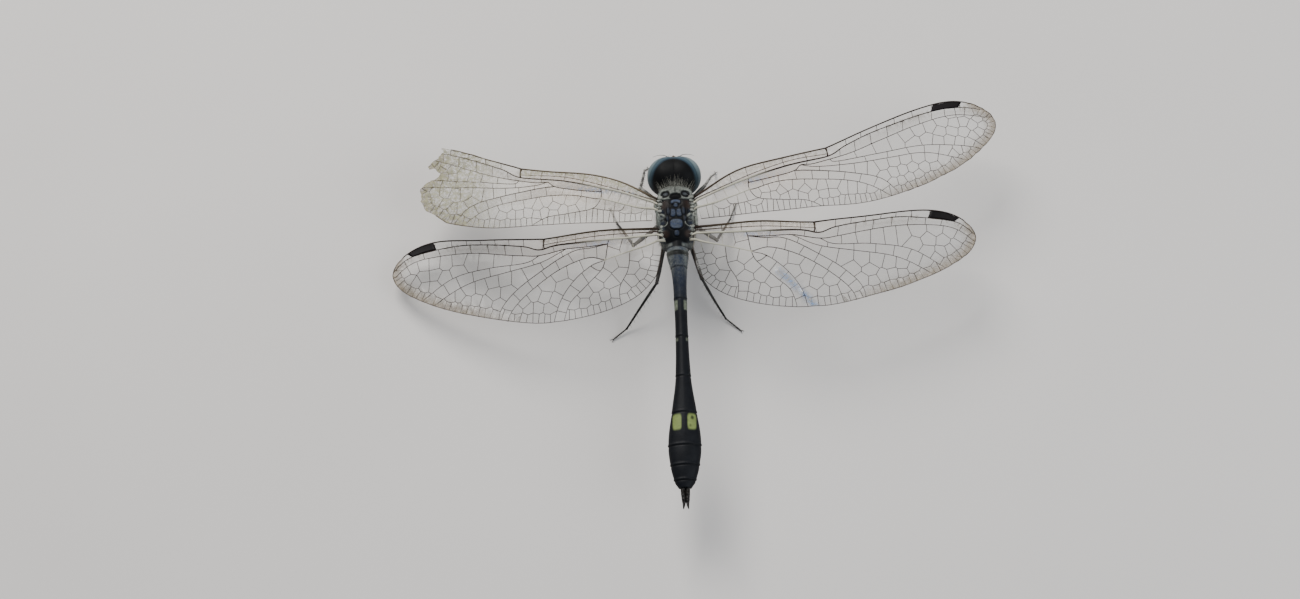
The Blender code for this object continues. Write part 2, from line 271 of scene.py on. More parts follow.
# Plates of the back between the wings: middle, half size, rise and bloom, each with a sunk dark
# seam round it.
BACK_PLATES = (
    ((0.00, 1.40), (0.50, 0.24), 0.12, 1.00),
    ((0.00, 1.02), (0.22, 0.20), 0.08, 0.70),
    ((0.32, 0.20), (0.29, 0.43), 0.12, 0.75),
    ((0.00, -1.02), (0.64, 0.50), 0.16, 0.90),
    ((0.00, -1.93), (0.25, 0.27), 0.10, 0.55),
    ((0.78, 0.42), (0.15, 0.40), 0.08, 0.30),
    ((0.90, -0.45), (0.13, 0.32), 0.06, 0.25),
    ((1.42, -0.78), (0.36, 0.27), -0.07, 0.10),
)
PLATE_SQUARENESS, SEAM_WIDTH, SEAM_DEPTH = 2.8, 0.12, 0.05
lay("seam", 0.75 * patch((0, -0.1), (1.15, 2.3), edge=0.2) * ON_BACK)
for middle, (half_x, half_y), height, bloom in BACK_PLATES:
    plate, ground = (half_x, half_y), (half_x + SEAM_WIDTH, half_y + SEAM_WIDTH)
    inside = patch(middle, plate, PLATE_SQUARENESS, edge=0.05) * ON_BACK
    around = patch(middle, ground, PLATE_SQUARENESS, edge=0.08) * ON_BACK - inside
    rise += (height * patch(middle, plate, PLATE_SQUARENESS, edge=0.09) * ON_BACK
             - SEAM_DEPTH * around)
    lay("bloom", bloom * inside, over=around)
    lay("seam", around, over=inside)

# The collar: a pale arch over the front of the thorax, parted in the middle, round a dark
# hollow with a paler lip in each horn and another hollow between them. A small painted highlight,
# pale and bloomed, lies in each horn's hollow.
HORN_MIDDLE, HORN_TURN = (1.04, 2.30), -0.18
arch = patch((0, 1.95), (1.84, 1.50), 2.3, edge=0.07) * soft_step(1.70, 1.82, Y)
arch *= HIGH * (Y < THORAX_FRONT)
hollows = patch(HORN_MIDDLE, (0.46, 0.36), 2.2, edge=0.07, turn=HORN_TURN) * ON_BACK
# A painted highlight in each horn's hollow.
painted_gleam = patch((1.02, 2.34), (0.26, 0.17), 2.2, edge=0.14, turn=HORN_TURN) * ON_BACK
throat = patch((0, 2.02), (0.60, 0.34), 2.3, edge=0.08) * ON_BACK
parting = hump(X, 0.04) * soft_step(2.3, 2.6, Y) * HIGH
sunk = np.maximum(hollows, throat)
lips = patch(HORN_MIDDLE, (0.58, 0.46), 2.2, edge=0.08, turn=HORN_TURN) * ON_BACK - hollows
lips = np.clip(lips, 0, 1) * (np.abs(X) > 0.9)
rise += 0.06 * arch * (1 - sunk) - 0.13 * sunk - 0.05 * parting * arch
lay("pale", arch * soft_step(8.3, 8.9, Z) * (1 - sunk) * (1 - parting) * (0.46 + 0.44 * lips))
lay("seam", np.maximum(sunk * (1 - painted_gleam), parting * arch), over=arch)
lay("pale", 0.12 * painted_gleam)
lay("bloom", 0.35 * painted_gleam, over=arch)

# Wing seats: pale strips down both edges of the back, pale-rimmed ovals, and amber hinge skin.
OVAL_MIDDLE = (1.42, -0.78)
strip = patch((1.80, 0.55), (0.20, 1.55), 3.0, edge=0.06) * HIGH * (Y < 3)
rim = (patch(OVAL_MIDDLE, (0.56, 0.44), 2.4, edge=0.06)
       - patch(OVAL_MIDDLE, (0.45, 0.35), 2.4, edge=0.06))
rear_rim = np.maximum(rim, 0) * (Y < -0.75) * ON_BACK
chips = (patch((1.35, 0.05), (0.11, 0.36), 2.2, edge=0.06, turn=-0.75)
         + patch((1.6, -1.45), (0.22, 0.10), 2.2)) * ON_BACK
hinges = (patch((1.15, 1.15), (0.48, 0.48), 2.2, edge=0.2)
          + patch((1.3, -1.98), (0.55, 0.36), 2.2, edge=0.2)) * ON_BACK
rise += 0.10 * strip + 0.07 * rear_rim + 0.10 * chips + 0.03 * hinges
for seat, strength in ((strip, 0.5), (rear_rim, 0.75), (chips, 0.7)):
    lay("pale", strength * seat)
    masks["seam"] *= 1 - seat
masks["amber"] = np.clip(hinges, 0, 1) * (1 - masks["pale"])

# Flanks: slanting plates with sunk seams between them and a pale streak down each.
FLANK_SEAMS = (2.45, 1.05, -0.35, -1.75)
slant = Y + 0.35 * (Z - 7.0)
for front in FLANK_SEAMS:
    seam = hump(slant - front, 0.07) * ON_FLANK
    rise -= 0.07 * seam
    lay("seam", seam)
    streak = hump(slant - front + 0.68, 0.26, 4) * ON_FLANK * soft_step(4.9, 5.4, Z)
    lay("pale", 0.35 * streak)
lay("bloom", 0.35 * ON_FLANK * (1 - masks["pale"]))

# Abdomen: a groove and a lip at each joint, a pale front ring and a dark band behind it, powder
# on the first rings, bloom that fades by the fourth, cream sides on the fourth and fifth, and
# two square yellow-green spots on the seventh, the right one stained.
for number, joint in enumerate(JOINTS[1:-1], start=1):
    lip = 0.060 if number > 6 else 0.030
    rise += ON_ABDOMEN * (lip * hump(Y - joint - 0.14, 0.12) - 0.055 * hump(Y - joint, 0.06))
    lay("seam", 0.7 * ON_ABDOMEN * hump(Y - joint, 0.08))
first_ring = ON_ABDOMEN * soft_step(-3.68, -3.6, Y)
dark_band = ON_ABDOMEN * soft_step(-4.2, -4.12, Y) * (1 - first_ring)
powder = ON_ABDOMEN * soft_step(-7.0, -5.0, Y) * (0.06 + 0.26 * soft_step(0.3, 0.8, np.abs(X)))
lay("pale", np.maximum(powder, 0.20 * first_ring))
lay("bloom", ON_ABDOMEN * (0.03 + 0.45 * soft_step(-10.5, -4.5, Y)) * (1 - dark_band))
lay("seam", 0.8 * dark_band * hump(Y + 3.95, 0.2))
CREAM_SIDES = ((JOINTS[3] - 0.15, 1.05, 0.30, 0.9), (JOINTS[4] - 0.12, 0.36, 0.38, 0.6))
for front, length, gap, strength in CREAM_SIDES:
    rear = front - length
    lengthwise = soft_step(rear - 0.08, rear + 0.08, Y) * soft_step(front, front - 0.1, Y)
    cream = strength * lengthwise * soft_step(gap - 0.05, gap + 0.07, np.abs(X))
    lay("pale", 0.5 * cream)
    masks["spot"] += 0.18 * cream
spot = patch((0.735, JOINTS[6] - 1.02), (0.425, 0.81), 4.5, edge=0.08) * ABOVE * ON_ABDOMEN
STAINS = ((0.78, 0.62, 0.17, 0.22, 1.0), (0.58, 1.45, 0.10, 0.16, 0.6))
stain = sum(
    strength * np.exp(-(((X - x) / half_x) ** 2 + ((Y - JOINTS[6] + y) / half_y) ** 2) ** 2)
    for x, y, half_x, half_y, strength in STAINS)
masks["spot"] += spot * (1 - 0.8 * np.clip(stain, 0, 1))

# Face: a bloomed brow over two pale lips with seams under them, and a reddish knob on top.
LIP_SEAMS = (5.82, 5.18)
lip_lines = sum(hump(Z + 0.12 * X ** 2 - height, 0.05) for height in LIP_SEAMS)
lay("pale", ON_FACE * np.maximum(0.62 * soft_step(6.86, 6.62, Z), 0.35 * soft_step(7.35, 7.6, Z)))
lay("bloom", 0.6 * ON_FACE * soft_step(6.6, 6.8, Z) * soft_step(7.1, 6.95, Z))
lay("amber", 0.5 * ON_FACE * soft_step(7.0, 7.3, Z))
lay("seam", 0.8 * lip_lines * (np.abs(X) < 1.15) * ON_FACE)

spots += facing * rise[:, None]
X += abdomen_bend(np.maximum(WAIST.y - Y, 0.0))
move(hull, spots)
for name, mask in masks.items():
    paint(hull, name, mask)


def colour(red, green, blue):
    """A colour as the eye gives it, from 0 to 255, in the linear numbers that shaders use."""
    return tuple((part / 255) ** 2.2 for part in (red, green, blue)) + (1.0,)


class Value:
    """A number or colour that varies over a surface: a node's socket, with arithmetic."""

    def __init__(self, tree, socket=None):
        self.tree, self.socket = tree, socket

    def node(self, kind, settings, inputs, output=0):
        """Adds a node to the material: its settings first, then its sockets' values or links."""
        made = self.tree.nodes.new(kind)
        for name, setting in settings.items():
            setattr(made, name, setting)
        for key, value in inputs.items():
            if isinstance(value, Value):
                self.tree.links.new(value.socket, made.inputs[key])
            else:
                made.inputs[key].default_value = value
        return Value(self.tree, made.outputs[output])

    def math(self, operation, *values):
        return self.node("ShaderNodeMath", {"operation": operation}, dict(enumerate(values)))

    def __add__(self, other):
        return self.math("ADD", self, other)

    def __sub__(self, other):
        return self.math("SUBTRACT", self, other)

    def __rsub__(self, other):
        return self.math("SUBTRACT", other, self)

    def __mul__(self, other):
        return self.math("MULTIPLY", self, other)

    __radd__ = __add__
    __rmul__ = __mul__

    def above(self, low, high):
        """0 below low, 1 above high, soft between."""
        return self.node("ShaderNodeMapRange", {"interpolation_type": "SMOOTHSTEP"},
                         {"Value": self, "From Min": low, "From Max": high})

    def into(self, first, second):
        """The first colour where this is 0, and the second where it is 1."""
        return self.node("ShaderNodeMix", {"data_type": "RGBA"}, {0: self, 6: first, 7: second}, 2)

    def painted(self, *names):
        """The strengths that are painted on the mesh under these names."""
        return [self.node("ShaderNodeAttribute", {"attribute_name": name}, {}, "Fac")
                for name in names]

    def noise(self, scale, detail=3.0, roughness=0.55):
        """A cloudy pattern over these coordinates, from 0 to 1."""
        return self.node("ShaderNodeTexNoise", {}, {
            "Vector": self, "Scale": scale, "Detail": detail, "Roughness": roughness})

    def cells(self, scale):
        """Distance from the middles of scattered cells, so that each is a small round dent."""
        return self.node("ShaderNodeTexVoronoi", {}, {"Vector": self, "Scale": scale})

    def bump(self, height, distance, strength=0.5):
        """A surface normal tilted by a height, with bumps as deep as the distance in metres."""
        return self.node("ShaderNodeBump", {}, {
            "Height": height, "Distance": distance, "Strength": strength})


def finish(name, **plain):
    """A new material with plain values on its sockets, and its coordinates in the body's frame."""
    material = bpy.data.materials.new(name)
    material.use_nodes = True
    shader = material.node_tree.nodes["Principled BSDF"]
    for socket, value in plain.items():
        shader.inputs[socket.replace("_", " ")].default_value = value
    start = Value(material.node_tree)
    world = start.node("ShaderNodeTexCoord", {}, {}, "Object")
    to_body = TO_SOLIDS.inverted()
    place = world.node("ShaderNodeMapping", {}, {
        "Vector": world, "Location": to_body.translation, "Scale": to_body.to_scale()})
    return material, shader, place


def wear(shader, **values):
    """Links what varies over a surface to the shader's sockets."""
    for socket, value in values.items():
        value.tree.links.new(value.socket, shader.inputs[socket.replace("_", " ")])


SHELL, shader, place = finish("dragonfly_shell", Specular_IOR_Level=0.12)
bloom, pale, amber, spot, seam = place.painted("bloom", "pale", "amber", "spot", "seam")
cloud = place.noise(1.6, 4.0)
dust = place.noise(9.0, 5.0, 0.7)
speck = dust.above(0.44, 0.66)
mottle = place.noise(3.2, 4.0, 0.65).above(0.32, 0.66)
shade = cloud.into(colour(10, 11, 13), colour(22, 23, 26))
powdery = mottle.into(colour(64, 77, 103), colour(88, 94, 104))
shade = (bloom * (0.45 + 0.6 * cloud) * (0.60 + 0.5 * speck)).into(shade, powdery)
shade = (pale * (0.25 + 0.45 * dust + 0.6 * mottle)).into(shade, colour(140, 144, 136))
shade = (amber * (0.45 + 0.8 * cloud)).into(shade, colour(46, 37, 33))
shade = (spot * (0.58 + 0.22 * dust + 0.22 * mottle)).into(shade, colour(121, 135, 79))
shade = (seam * 0.85).into(shade, colour(6, 7, 9))
roughness = 0.48 + 0.20 * bloom + 0.16 * pale + 0.12 * speck
wear(shader, Base_Color=shade, Roughness=roughness,
     Normal=place.bump(0.6 * dust + 0.5 * place.cells(11.0), 0.00002, 0.6))

# The skin's finish is kept on a flat sheet: the abdomen unrolled along the bottom, head and
# thorax above it, and four shelves on top for the parts that face straight ahead or back.
ABDOMEN_ON_SHEET, THORAX_ON_SHEET, SHELF_SCALE = 27.0, 11.0, 0.034


def on_flat_skin(places, homes):
    """Where places of the skin fall on its flat sheet, unrolled round the body. Each stays
    beside its home, so no face is torn."""
    turns = []
    for part in (places, homes):
        share = np.clip((WAIST.y - part[:, 1]) / ABDOMEN_LENGTH, 0, 1)
        bent = WAIST.z + ARCH * np.sin(math.pi * share) - DROOP * share ** 2
        axis = np.where(homes[:, 1] < WAIST.y, bent, 7.0)
        turns.append(np.arctan2(part[:, 0], part[:, 2] - axis) / math.tau)
    turn = turns[1] + (turns[0] - turns[1] + 0.5) % 1.0 - 0.5
    length = places[:, 1] - WAIST.y
    behind = (homes[:, 1] < WAIST.y)[:, None]
    abdomen = np.stack([0.02 - length / ABDOMEN_ON_SHEET * 0.96, 0.17 + 0.28 * turn], axis=1)
    front = np.stack([0.5 + 0.94 * turn, 0.36 + length / THORAX_ON_SHEET * 0.44], axis=1)
    return np.where(behind, abdomen, front)


corner_points = counts(hull.loops, "vertex_index")
corner_counts = counts(hull.polygons, "loop_total")
face_of = np.repeat(np.arange(len(corner_counts)), corner_counts)


def over_face(rows):
    """The mean over each face, for each of its corners."""
    means = [np.bincount(face_of, rows[:, part]) / corner_counts for part in range(3)]
    return np.stack(means, axis=1)[face_of]


places = spots[corner_points]
homes, ends = over_face(places), over_face(facing[corner_points])
layout = on_flat_skin(places, homes)
ahead, astern, home = ends[:, 1] > 0.8, ends[:, 1] < -0.8, homes[:, 1]
shelves = (ahead & (home > 4.6), astern & (home > 3.3),
           ahead & (home < 4.6) & (home > 0), astern & (abs(home) < 3.3))
for shelf, chosen in enumerate(shelves):
    across = 0.10 + 0.2 * shelf + places[:, 0] * SHELF_SCALE
    up = 0.90 + (places[:, 2] - 6.9) * SHELF_SCALE
    layout[chosen] = np.stack([across, up], axis=1)[chosen]
lay_out(hull, layout)
body_skin = piece("body_skin", hull, SHELL)
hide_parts("thorax", "prothorax", "head", *(f"abdomen_{n}" for n in range(1, 11)))

# ---- Eyes ---------------------------------------------------------------------------------
# Two big eggs of tiny lenses that meet along the top of the head, held in the skull's sockets:
# glossy and nearly black above, with a teal rim in soft bands, paled towards the front and at its
# outer edge by a painted highlight and darkened behind by painted shade.

EYE_MIDDLE = (0.62, 5.4, 6.7)
EYE_HALF = (2.14, 2.04, 2.14)
SEAM_GAP, SEAM_SWELL = 0.002, 0.065
SWELL_WIDTH, SWELL_FRONT = 0.25, 7.1

# The dark cap over both eyes: its lean forward, its half width and length, and where its middle
# lies. Then the rim's bands outwards from it: each one's colour behind, darkened by painted shade,
# and in front, paled by a painted highlight.
CAP_LEAN, CAP_HALF, CAP_MIDDLE = 0.385, (2.13, 2.30), (-0.08, -0.5)
RIM_COLOURS = (
    ((28, 38, 44), (42, 56, 68)),
    ((46, 62, 70), (76, 94, 104)),
    ((64, 80, 86), (116, 130, 133)),
)

LENS, shader, place = finish("compound_eye", Specular_IOR_Level=0.11)
axes = place.node("ShaderNodeSeparateXYZ", {}, {"Vector": place})
across, forward, height = (Value(axes.tree, axes.socket.node.outputs[name]) for name in "XYZ")
forward, height = forward - EYE_MIDDLE[1], height - EYE_MIDDLE[2]
along = math.cos(CAP_LEAN) * forward + math.sin(CAP_LEAN) * height
outward = math.cos(CAP_LEAN) * height - math.sin(CAP_LEAN) * forward
across, along = ((1 / half) * (axis - middle)
                 for axis, half, middle in zip((across, along), CAP_HALF, CAP_MIDDLE))
cap = across * across + along * along
cap = cap.math("SQRT", cap) + 0.05 * (place.noise(0.9) - 0.5) + outward.above(0.4, -0.8)
cloud, facets = place.noise(2.2, 4.0), place.cells(20.0)
# The teal rim pales from behind to the front: a painted highlight on its lit side, painted shade
# behind.
front = forward.above(-1.2, 1.2)
inner, middle, outer = (front.into(colour(*rear), colour(*fore)) for rear, fore in RIM_COLOURS)
shade = cap.above(1.01, 1.13).into(inner, cap.above(1.12, 1.26).into(middle, outer))
ripple = 34.0 * cap
ripple = ripple.math("SINE", ripple).above(0.3, 1.0) * (1 - cap.above(1.2, 1.3))
shade = (0.4 * ripple).into(shade, colour(34, 50, 58))
shade = cap.above(0.97, 1.03).into(colour(13, 13, 14), shade)
# A painted pale highlight on the rim's outermost edge.
shade = cap.above(1.5, 1.9).into(shade, colour(92, 100, 92))
shade = (0.30 * cloud + 0.20 * facets).into(shade, colour(12, 14, 16))
wear(shader, Base_Color=shade, Roughness=0.46 + 0.2 * cloud,
     Normal=place.bump(facets, 0.000012, 0.35))

for side, sign in (("left", -1), ("right", 1)):
    egg = bmesh.new()
    ball(egg, (sign * EYE_MIDDLE[0], *EYE_MIDDLE[1:]), EYE_HALF, 2.1, around=96, up=64)
    cut = bmesh.ops.bisect_plane(
        egg, geom=egg.verts[:] + egg.edges[:] + egg.faces[:],
        plane_co=(sign * SEAM_GAP, 0, 0), plane_no=(-sign, 0, 0), clear_outer=True)
    rim = [part for part in cut["geom_cut"] if isinstance(part, bmesh.types.BMEdge)]
    bmesh.ops.bevel(egg, geom=bmesh.ops.edgeloop_fill(egg, edges=rim)["faces"][0].edges[:],
                    offset=0.01, affect="EDGES", segments=2, profile=0.5, material=-1)
    # The eyes swell a little where they meet, so that only a fine seam parts them.
    for point in egg.verts:
        out = Vector((0.0, point.co.y - EYE_MIDDLE[1], point.co.z - EYE_MIDDLE[2]))
        swell = SEAM_SWELL * math.exp(-abs(point.co.x) / SWELL_WIDTH)
        swell *= min(max((SWELL_FRONT - point.co.y) / 0.5, 0.0), 1.0)
        if out.z > 0.4 * out.y:
            point.co += out.normalized() * swell * min(out.length, 1.0)
    eye = piece(f"eye_lens_{side}", mesh_of("egg", egg), LENS)
    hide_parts(f"eye_{side}")

# ---- Feelers and small eyes ---------------------------------------------------------------
# Each feeler is a stout joint and a bristle of dark horn, set in a socket on the brow. Three
# glassy beads, the small eyes, sit round the knob in front of the notch where the big eyes meet.


def stem(shape, path, radii, sides=12, flat=1.0):
    """Adds a round stem along a path, its radii shared out evenly over it: a ring pulled from
    point to point, and capped."""
    points = [Vector(point) for point in path]
    sizes = np.interp(np.linspace(0, len(radii) - 1, len(points)), range(len(radii)), radii)
    rings = []
    for order, (point, size) in enumerate(zip(points, sizes.tolist())):
        ahead = points[min(order + 1, len(points) - 1)] - points[max(order - 1, 0)]
        turn = ahead.to_track_quat("Z", "Y").to_matrix().to_4x4()
        scale = Matrix.Diagonal((size, size * flat, size, 1))
        rings.append(Matrix.Translation(point) @ turn @ scale)
    end = bmesh.ops.create_circle(
        shape, cap_ends=True, segments=sides, radius=1.0, matrix=rings[0])["verts"]
    cap = end[0].link_faces[0]
    for before, after in zip(rings, rings[1:]):
        pulled = bmesh.ops.extrude_face_region(shape, geom=[cap])["geom"]
        if before is rings[0]:
            bmesh.ops.contextual_create(shape, geom=end)
        cap = next(part for part in pulled if isinstance(part, bmesh.types.BMFace))
        bmesh.ops.transform(shape, matrix=after @ before.inverted(), verts=cap.verts[:])


def swept(path, steps=6):
    """A smooth run of points through a few knots."""
    knots = [Vector(point) for point in path]
    knots = [2 * knots[0] - knots[1], *knots, 2 * knots[-1] - knots[-2]]
    smooth = []
    for a, b, c, d in zip(knots, knots[1:], knots[2:], knots[3:]):
        for step in range(steps):
            t = step / steps
            smooth.append(0.5 * (2 * b + (c - a) * t + (2 * a - 5 * b + 4 * c - d) * t ** 2
                                 + (3 * b - a - 3 * c + d) * t ** 3))
    return [*smooth, knots[-2]]


HORN, shader, place = finish("dark_horn", Specular_IOR_Level=0.2)
cloud, grit = place.noise(2.5, 4.0), place.noise(22.0, 4.0, 0.7)
dusty = place.noise(5.0, 3.0).above(0.5, 0.75)
# A painted grey sheen on the legs' upper sides, where light falls on them.
painted_top_sheen = place.painted("painted_top_sheen")[0] * (0.5 + 0.6 * cloud)
shade = cloud.into(colour(10, 9, 9), colour(30, 26, 23))
shade = painted_top_sheen.into((0.4 * dusty).into(shade, colour(74, 72, 70)), colour(150, 149, 144))
wear(shader, Base_Color=shade, Roughness=0.34 + 0.25 * grit + 0.2 * dusty,
     Normal=place.bump(grit, 0.00001, 0.5))

FEELER_BASE = ((0.46, 7.10, 6.98), (0.50, 7.38, 7.05), (0.60, 7.54, 7.03))
FEELER_WHIP = ((0.59, 7.50, 7.03), (0.98, 7.70, 7.06), (1.58, 7.70, 7.08), (2.12, 7.58, 7.00))
for side, sign in (("left", -1), ("right", 1)):
    shape = bmesh.new()
    base, whip = (swept([(sign * x, y, z) for x, y, z in knots])
                  for knots in (FEELER_BASE, FEELER_WHIP))
    stem(shape, base, (0.15, 0.17, 0.12, 0.06))
    stem(shape, whip, (0.045, 0.030, 0.02, 0.012), sides=8)
    feeler = piece(f"feeler_{side}", mesh_of("feeler", shape), HORN)
    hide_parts(f"antenna_{side}")

BEAD, shader, place = finish("small_eye", Coat_Weight=0.6, Specular_IOR_Level=0.6)
wear(shader, Base_Color=place.noise(3.0).into(colour(70, 38, 22), colour(120, 78, 40)),
     Roughness=0.12 + 0.1 * place.noise(6.0))
BEADS = (((0, 7.36, 7.48), 0.10), ((-0.24, 7.31, 7.24), 0.09), ((0.24, 7.31, 7.24), 0.09))
shape = bmesh.new()
for centre, radius in BEADS:
    ball(shape, centre, (radius,) * 3, around=24, up=16)
piece("small_eyes", mesh_of("beads", shape), BEAD)

# ---- Claspers -----------------------------------------------------------------------------
# Two hard curved pincers of horn and a shorter hook under them, hinged on the tail's last ring.
# Each knot is a share of their length, and a place sideways and up from the tail's end.

CLASPER_LENGTH = 2.12
TAIL = abdomen_middle(ABDOMEN_LENGTH) + Vector((abdomen_bend(ABDOMEN_LENGTH), 0, 0))
PINCER = ((-0.06, 0.25, 0.10), (0.1, 0.26, 0.16), (0.35, 0.22, 0.22),
          (0.6, 0.19, 0.21), (0.8, 0.19, 0.17), (1.0, 0.26, 0.05))
PINCER_RADII = (0.19, 0.21, 0.22, 0.20, 0.14, 0.045)
HOOK = ((-0.06, 0.0, -0.30), (0.2, 0.0, -0.40), (0.45, 0.0, -0.40), (0.62, 0.0, -0.26))
HOOK_RADII = (0.22, 0.26, 0.20, 0.06)
shape = bmesh.new()
for knots, radii, sign, flat in ((PINCER, PINCER_RADII, -1, 0.85), (PINCER, PINCER_RADII, 1, 0.85),
                                 (HOOK, HOOK_RADII, 1, 1.25)):
    path = swept([TAIL + Vector((sign * x, -share * CLASPER_LENGTH, z)) for share, x, z in knots])
    stem(shape, path, radii, sides=16, flat=flat)
claspers = piece("claspers", mesh_of("claspers", shape), HORN)
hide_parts("cercus_left", "cercus_right", "epiproct")

# ---- Legs ---------------------------------------------------------------------------------
# Six thin black legs of horn, with a painted grey sheen on their upper sides: a stout hip, thigh,
# shin and three-jointed foot with two claws, hinged to each other by soft skin, and armed with
# two rows of spines for catching prey.

HIPS = {"fore": (0.75, 3.0, 4.35), "mid": (0.95, 1.9, 4.1), "hind": (1.0, 0.7, 3.95)}
# How strong the painted sheen on the upper sides is for each pair of legs.
TOP_SHEEN = {"fore": 0.85, "mid": 0.5, "hind": 0.12}
LEG_JOINTS = {  # knee, ankle and toe
    "fore_left": ((-3.5, 5.0, 5.0), (-3.0, 8.3, 2.2), (-2.65, 9.4, 0.1)),
    "mid_left": ((-4.45, -0.7, 3.5), (-6.05, 3.1, 0.45), (-6.7, 4.9, 0.1)),
    "hind_left": ((-2.2, -5.2, 4.1), (-5.45, -8.65, 0.45), (-6.85, -9.65, 0.1)),
    "fore_right": ((3.1, 5.0, 5.0), (3.9, 7.4, 2.0), (4.4, 8.6, 0.1)),
    "mid_right": ((4.15, -0.5, 3.6), (5.7, 3.15, 0.45), (6.35, 4.9, 0.1)),
    "hind_right": ((2.4, -5.3, 5.0), (4.75, -7.95, 0.45), (6.25, -9.2, 0.1)),
}
TOE_HEIGHT = 0.12
HIP_RADII = (0.45, 0.42, 0.34, 0.22)
THIGH_RADII = (0.20, 0.25, 0.23, 0.20, 0.22, 0.17)
SHIN_RADII = (0.13, 0.155, 0.14, 0.125, 0.12, 0.10)
FOOT_RADII = (0.085, 0.075, 0.085, 0.05)
CLAW_RADII = (0.045, 0.035, 0.010)
KNEE_RADIUS, ANKLE_RADIUS, FOOT_JOINT_RADIUS = 0.20, 0.13, 0.065
THIGH_BOW, SHIN_BOW = 0.12, 0.05
SPINE_RADIUS, FLOOR_GAP = 0.022, 0.04
SPINE_ROWS = ((0.2, 9, 0.30), (0.12, 8, 0.55), (0.07, 7, 0.16))
UP = Vector((0, 0, 1))
rng = np.random.default_rng(7)
spines = []
for name, joints in LEG_JOINTS.items():
    pair, side = name.split("_")
    sign = -1 if side == "left" else 1
    knee, ankle, toe = (Vector(joint) for joint in joints)
    toe.z = TOE_HEIGHT
    hip = Vector((sign * HIPS[pair][0], *HIPS[pair][1:]))
    shape = bmesh.new()
    inside = Vector((0.55 * hip.x, hip.y, hip.z + 0.9))
    stem(shape, swept([inside, hip, hip + (knee - hip) * 0.12]), HIP_RADII)
    out = (knee - ankle).cross(knee - hip).normalized()
    bow = out.cross(knee - hip).normalized() * THIGH_BOW
    thigh = swept([hip + (knee - hip) * 0.08, hip.lerp(knee, 0.5) - bow, knee])
    stem(shape, thigh, THIGH_RADII, sides=14)
    ball(shape, knee, (KNEE_RADIUS,) * 3, around=16, up=10)
    bow = (ankle - knee).orthogonal().normalized() * SHIN_BOW
    stem(shape, swept([knee, knee.lerp(ankle, 0.5) + bow, ankle]), SHIN_RADII)
    ball(shape, ankle, (ANKLE_RADIUS,) * 3, around=14, up=8)
    foot = [ankle, ankle.lerp(toe, 0.22), ankle.lerp(toe, 0.5), toe]
    for start, end in zip(foot, foot[1:]):
        stem(shape, swept([start, start.lerp(end, 0.5), end]), FOOT_RADII, sides=10)
        ball(shape, end, (FOOT_JOINT_RADIUS,) * 3, around=12, up=8)
    ahead = Vector((toe.x - ankle.x, toe.y - ankle.y, 0.0)).normalized()
    for spread in (-1, 1):
        across = ahead.cross(UP) * spread
        claw = [toe, toe + ahead * 0.14 + across * 0.10 + UP * 0.04,
                toe + ahead * 0.30 + across * 0.15 - UP * (toe.z - 0.015)]
        stem(shape, swept(claw), CLAW_RADII, sides=8)
    leg_mesh = mesh_of("leg", shape)
    # The upward faces of each leg carry the painted sheen.
    upward = numbers(leg_mesh.vertex_normals, "vector")[:, 2]
    paint(leg_mesh, "painted_top_sheen", soft_step(0.3, 0.9, upward) * TOP_SHEEN[pair])
    leg = piece(f"leg_{name}", leg_mesh, HORN)
    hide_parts(f"femur_{name}", f"tibia_{name}", f"tarsus_{name}")
    parts = ((hip, knee), (knee, ankle), (ankle, toe))
    for (start, end), (radius, count, length) in zip(parts, SPINE_ROWS):
        ahead = (end - start).normalized()
        under = (ahead * ahead.z - UP).normalized()
        for row in (-1, 1):
            lean = (under + row * 0.75 * ahead.cross(under)).normalized()
            for step in range(count):
                root = start.lerp(end, (step + 1.2) / (count + 1))
                size = length * (0.8 + 0.4 * rng.random())
                if root.z + lean.z * (radius + size) + ahead.z * size > FLOOR_GAP:
                    way = lean * size + ahead * size * 0.8
                    spines.append((root + lean * radius * 0.8, way, SPINE_RADIUS, (0, 0, 0)))

THREAD_TURNS = 3
THREAD_PATCH = 0.003


def threads(name, rows, material, rings=3):
    """A piece of many fine solid hairs: each row is a root, a direction with its length, the
    radius at the root, and how far the tip is bent over."""
    roots, ways, bends = (np.array([tuple(row[part]) for row in rows], float) for part in (0, 1, 3))
    sizes = np.array([row[2] for row in rows])
    side = np.cross(ways, (0.31, 0.17, 0.93))
    side /= np.linalg.norm(side, axis=1, keepdims=True)
    other = np.cross(ways, side)
    other /= np.linalg.norm(other, axis=1, keepdims=True)
    points, per_hair = [], THREAD_TURNS * rings + 1
    for ring in range(rings):
        share = ring / rings
        middle = roots + ways * share + bends * share ** 2
        width = (sizes * (1 - 0.75 * share))[:, None]
        for turn in range(THREAD_TURNS):
            angle = math.tau * turn / THREAD_TURNS
            points.append(middle + width * (math.cos(angle) * side + math.sin(angle) * other))
    points.append(roots + ways + bends)
    points = np.stack(points, axis=1).reshape(-1, 3)
    faces = [(0, 2, 1)]
    for ring in range(rings):
        low, high = ring * THREAD_TURNS, (ring + 1) * THREAD_TURNS
        for a, b in ((0, 1), (1, 2), (2, 0)):
            if ring < rings - 1:
                faces += [(low + a, low + b, high + b), (low + a, high + b, high + a)]
            else:
                faces.append((low + a, low + b, high))
    faces = np.array(faces)[None] + np.arange(len(rows))[:, None, None] * per_hair
    mesh = bpy.data.meshes.new(name)
    mesh.from_pydata(points, [], faces.reshape(-1, 3))
    corners = np.tile(((0, 0), (1, 0), (0.5, 1)), (faces.size // 3, 1)) * THREAD_PATCH
    homes = np.clip(on_flat_skin(roots, roots), 0, 0.996)
    lay_out(mesh, corners + np.repeat(homes, faces[0].size, axis=0))
    return piece(name, mesh, material)


threads("leg_spines", spines, HORN, rings=2)

# ---- Wings --------------------------------------------------------------------------------
# Four stiff clear blades of skin, each stretched over a net of hollow veins that are thick along
# the front and fine behind, folded into shallow pleats, and hinged beside the back. One has lost
# its tip, and one is creased.

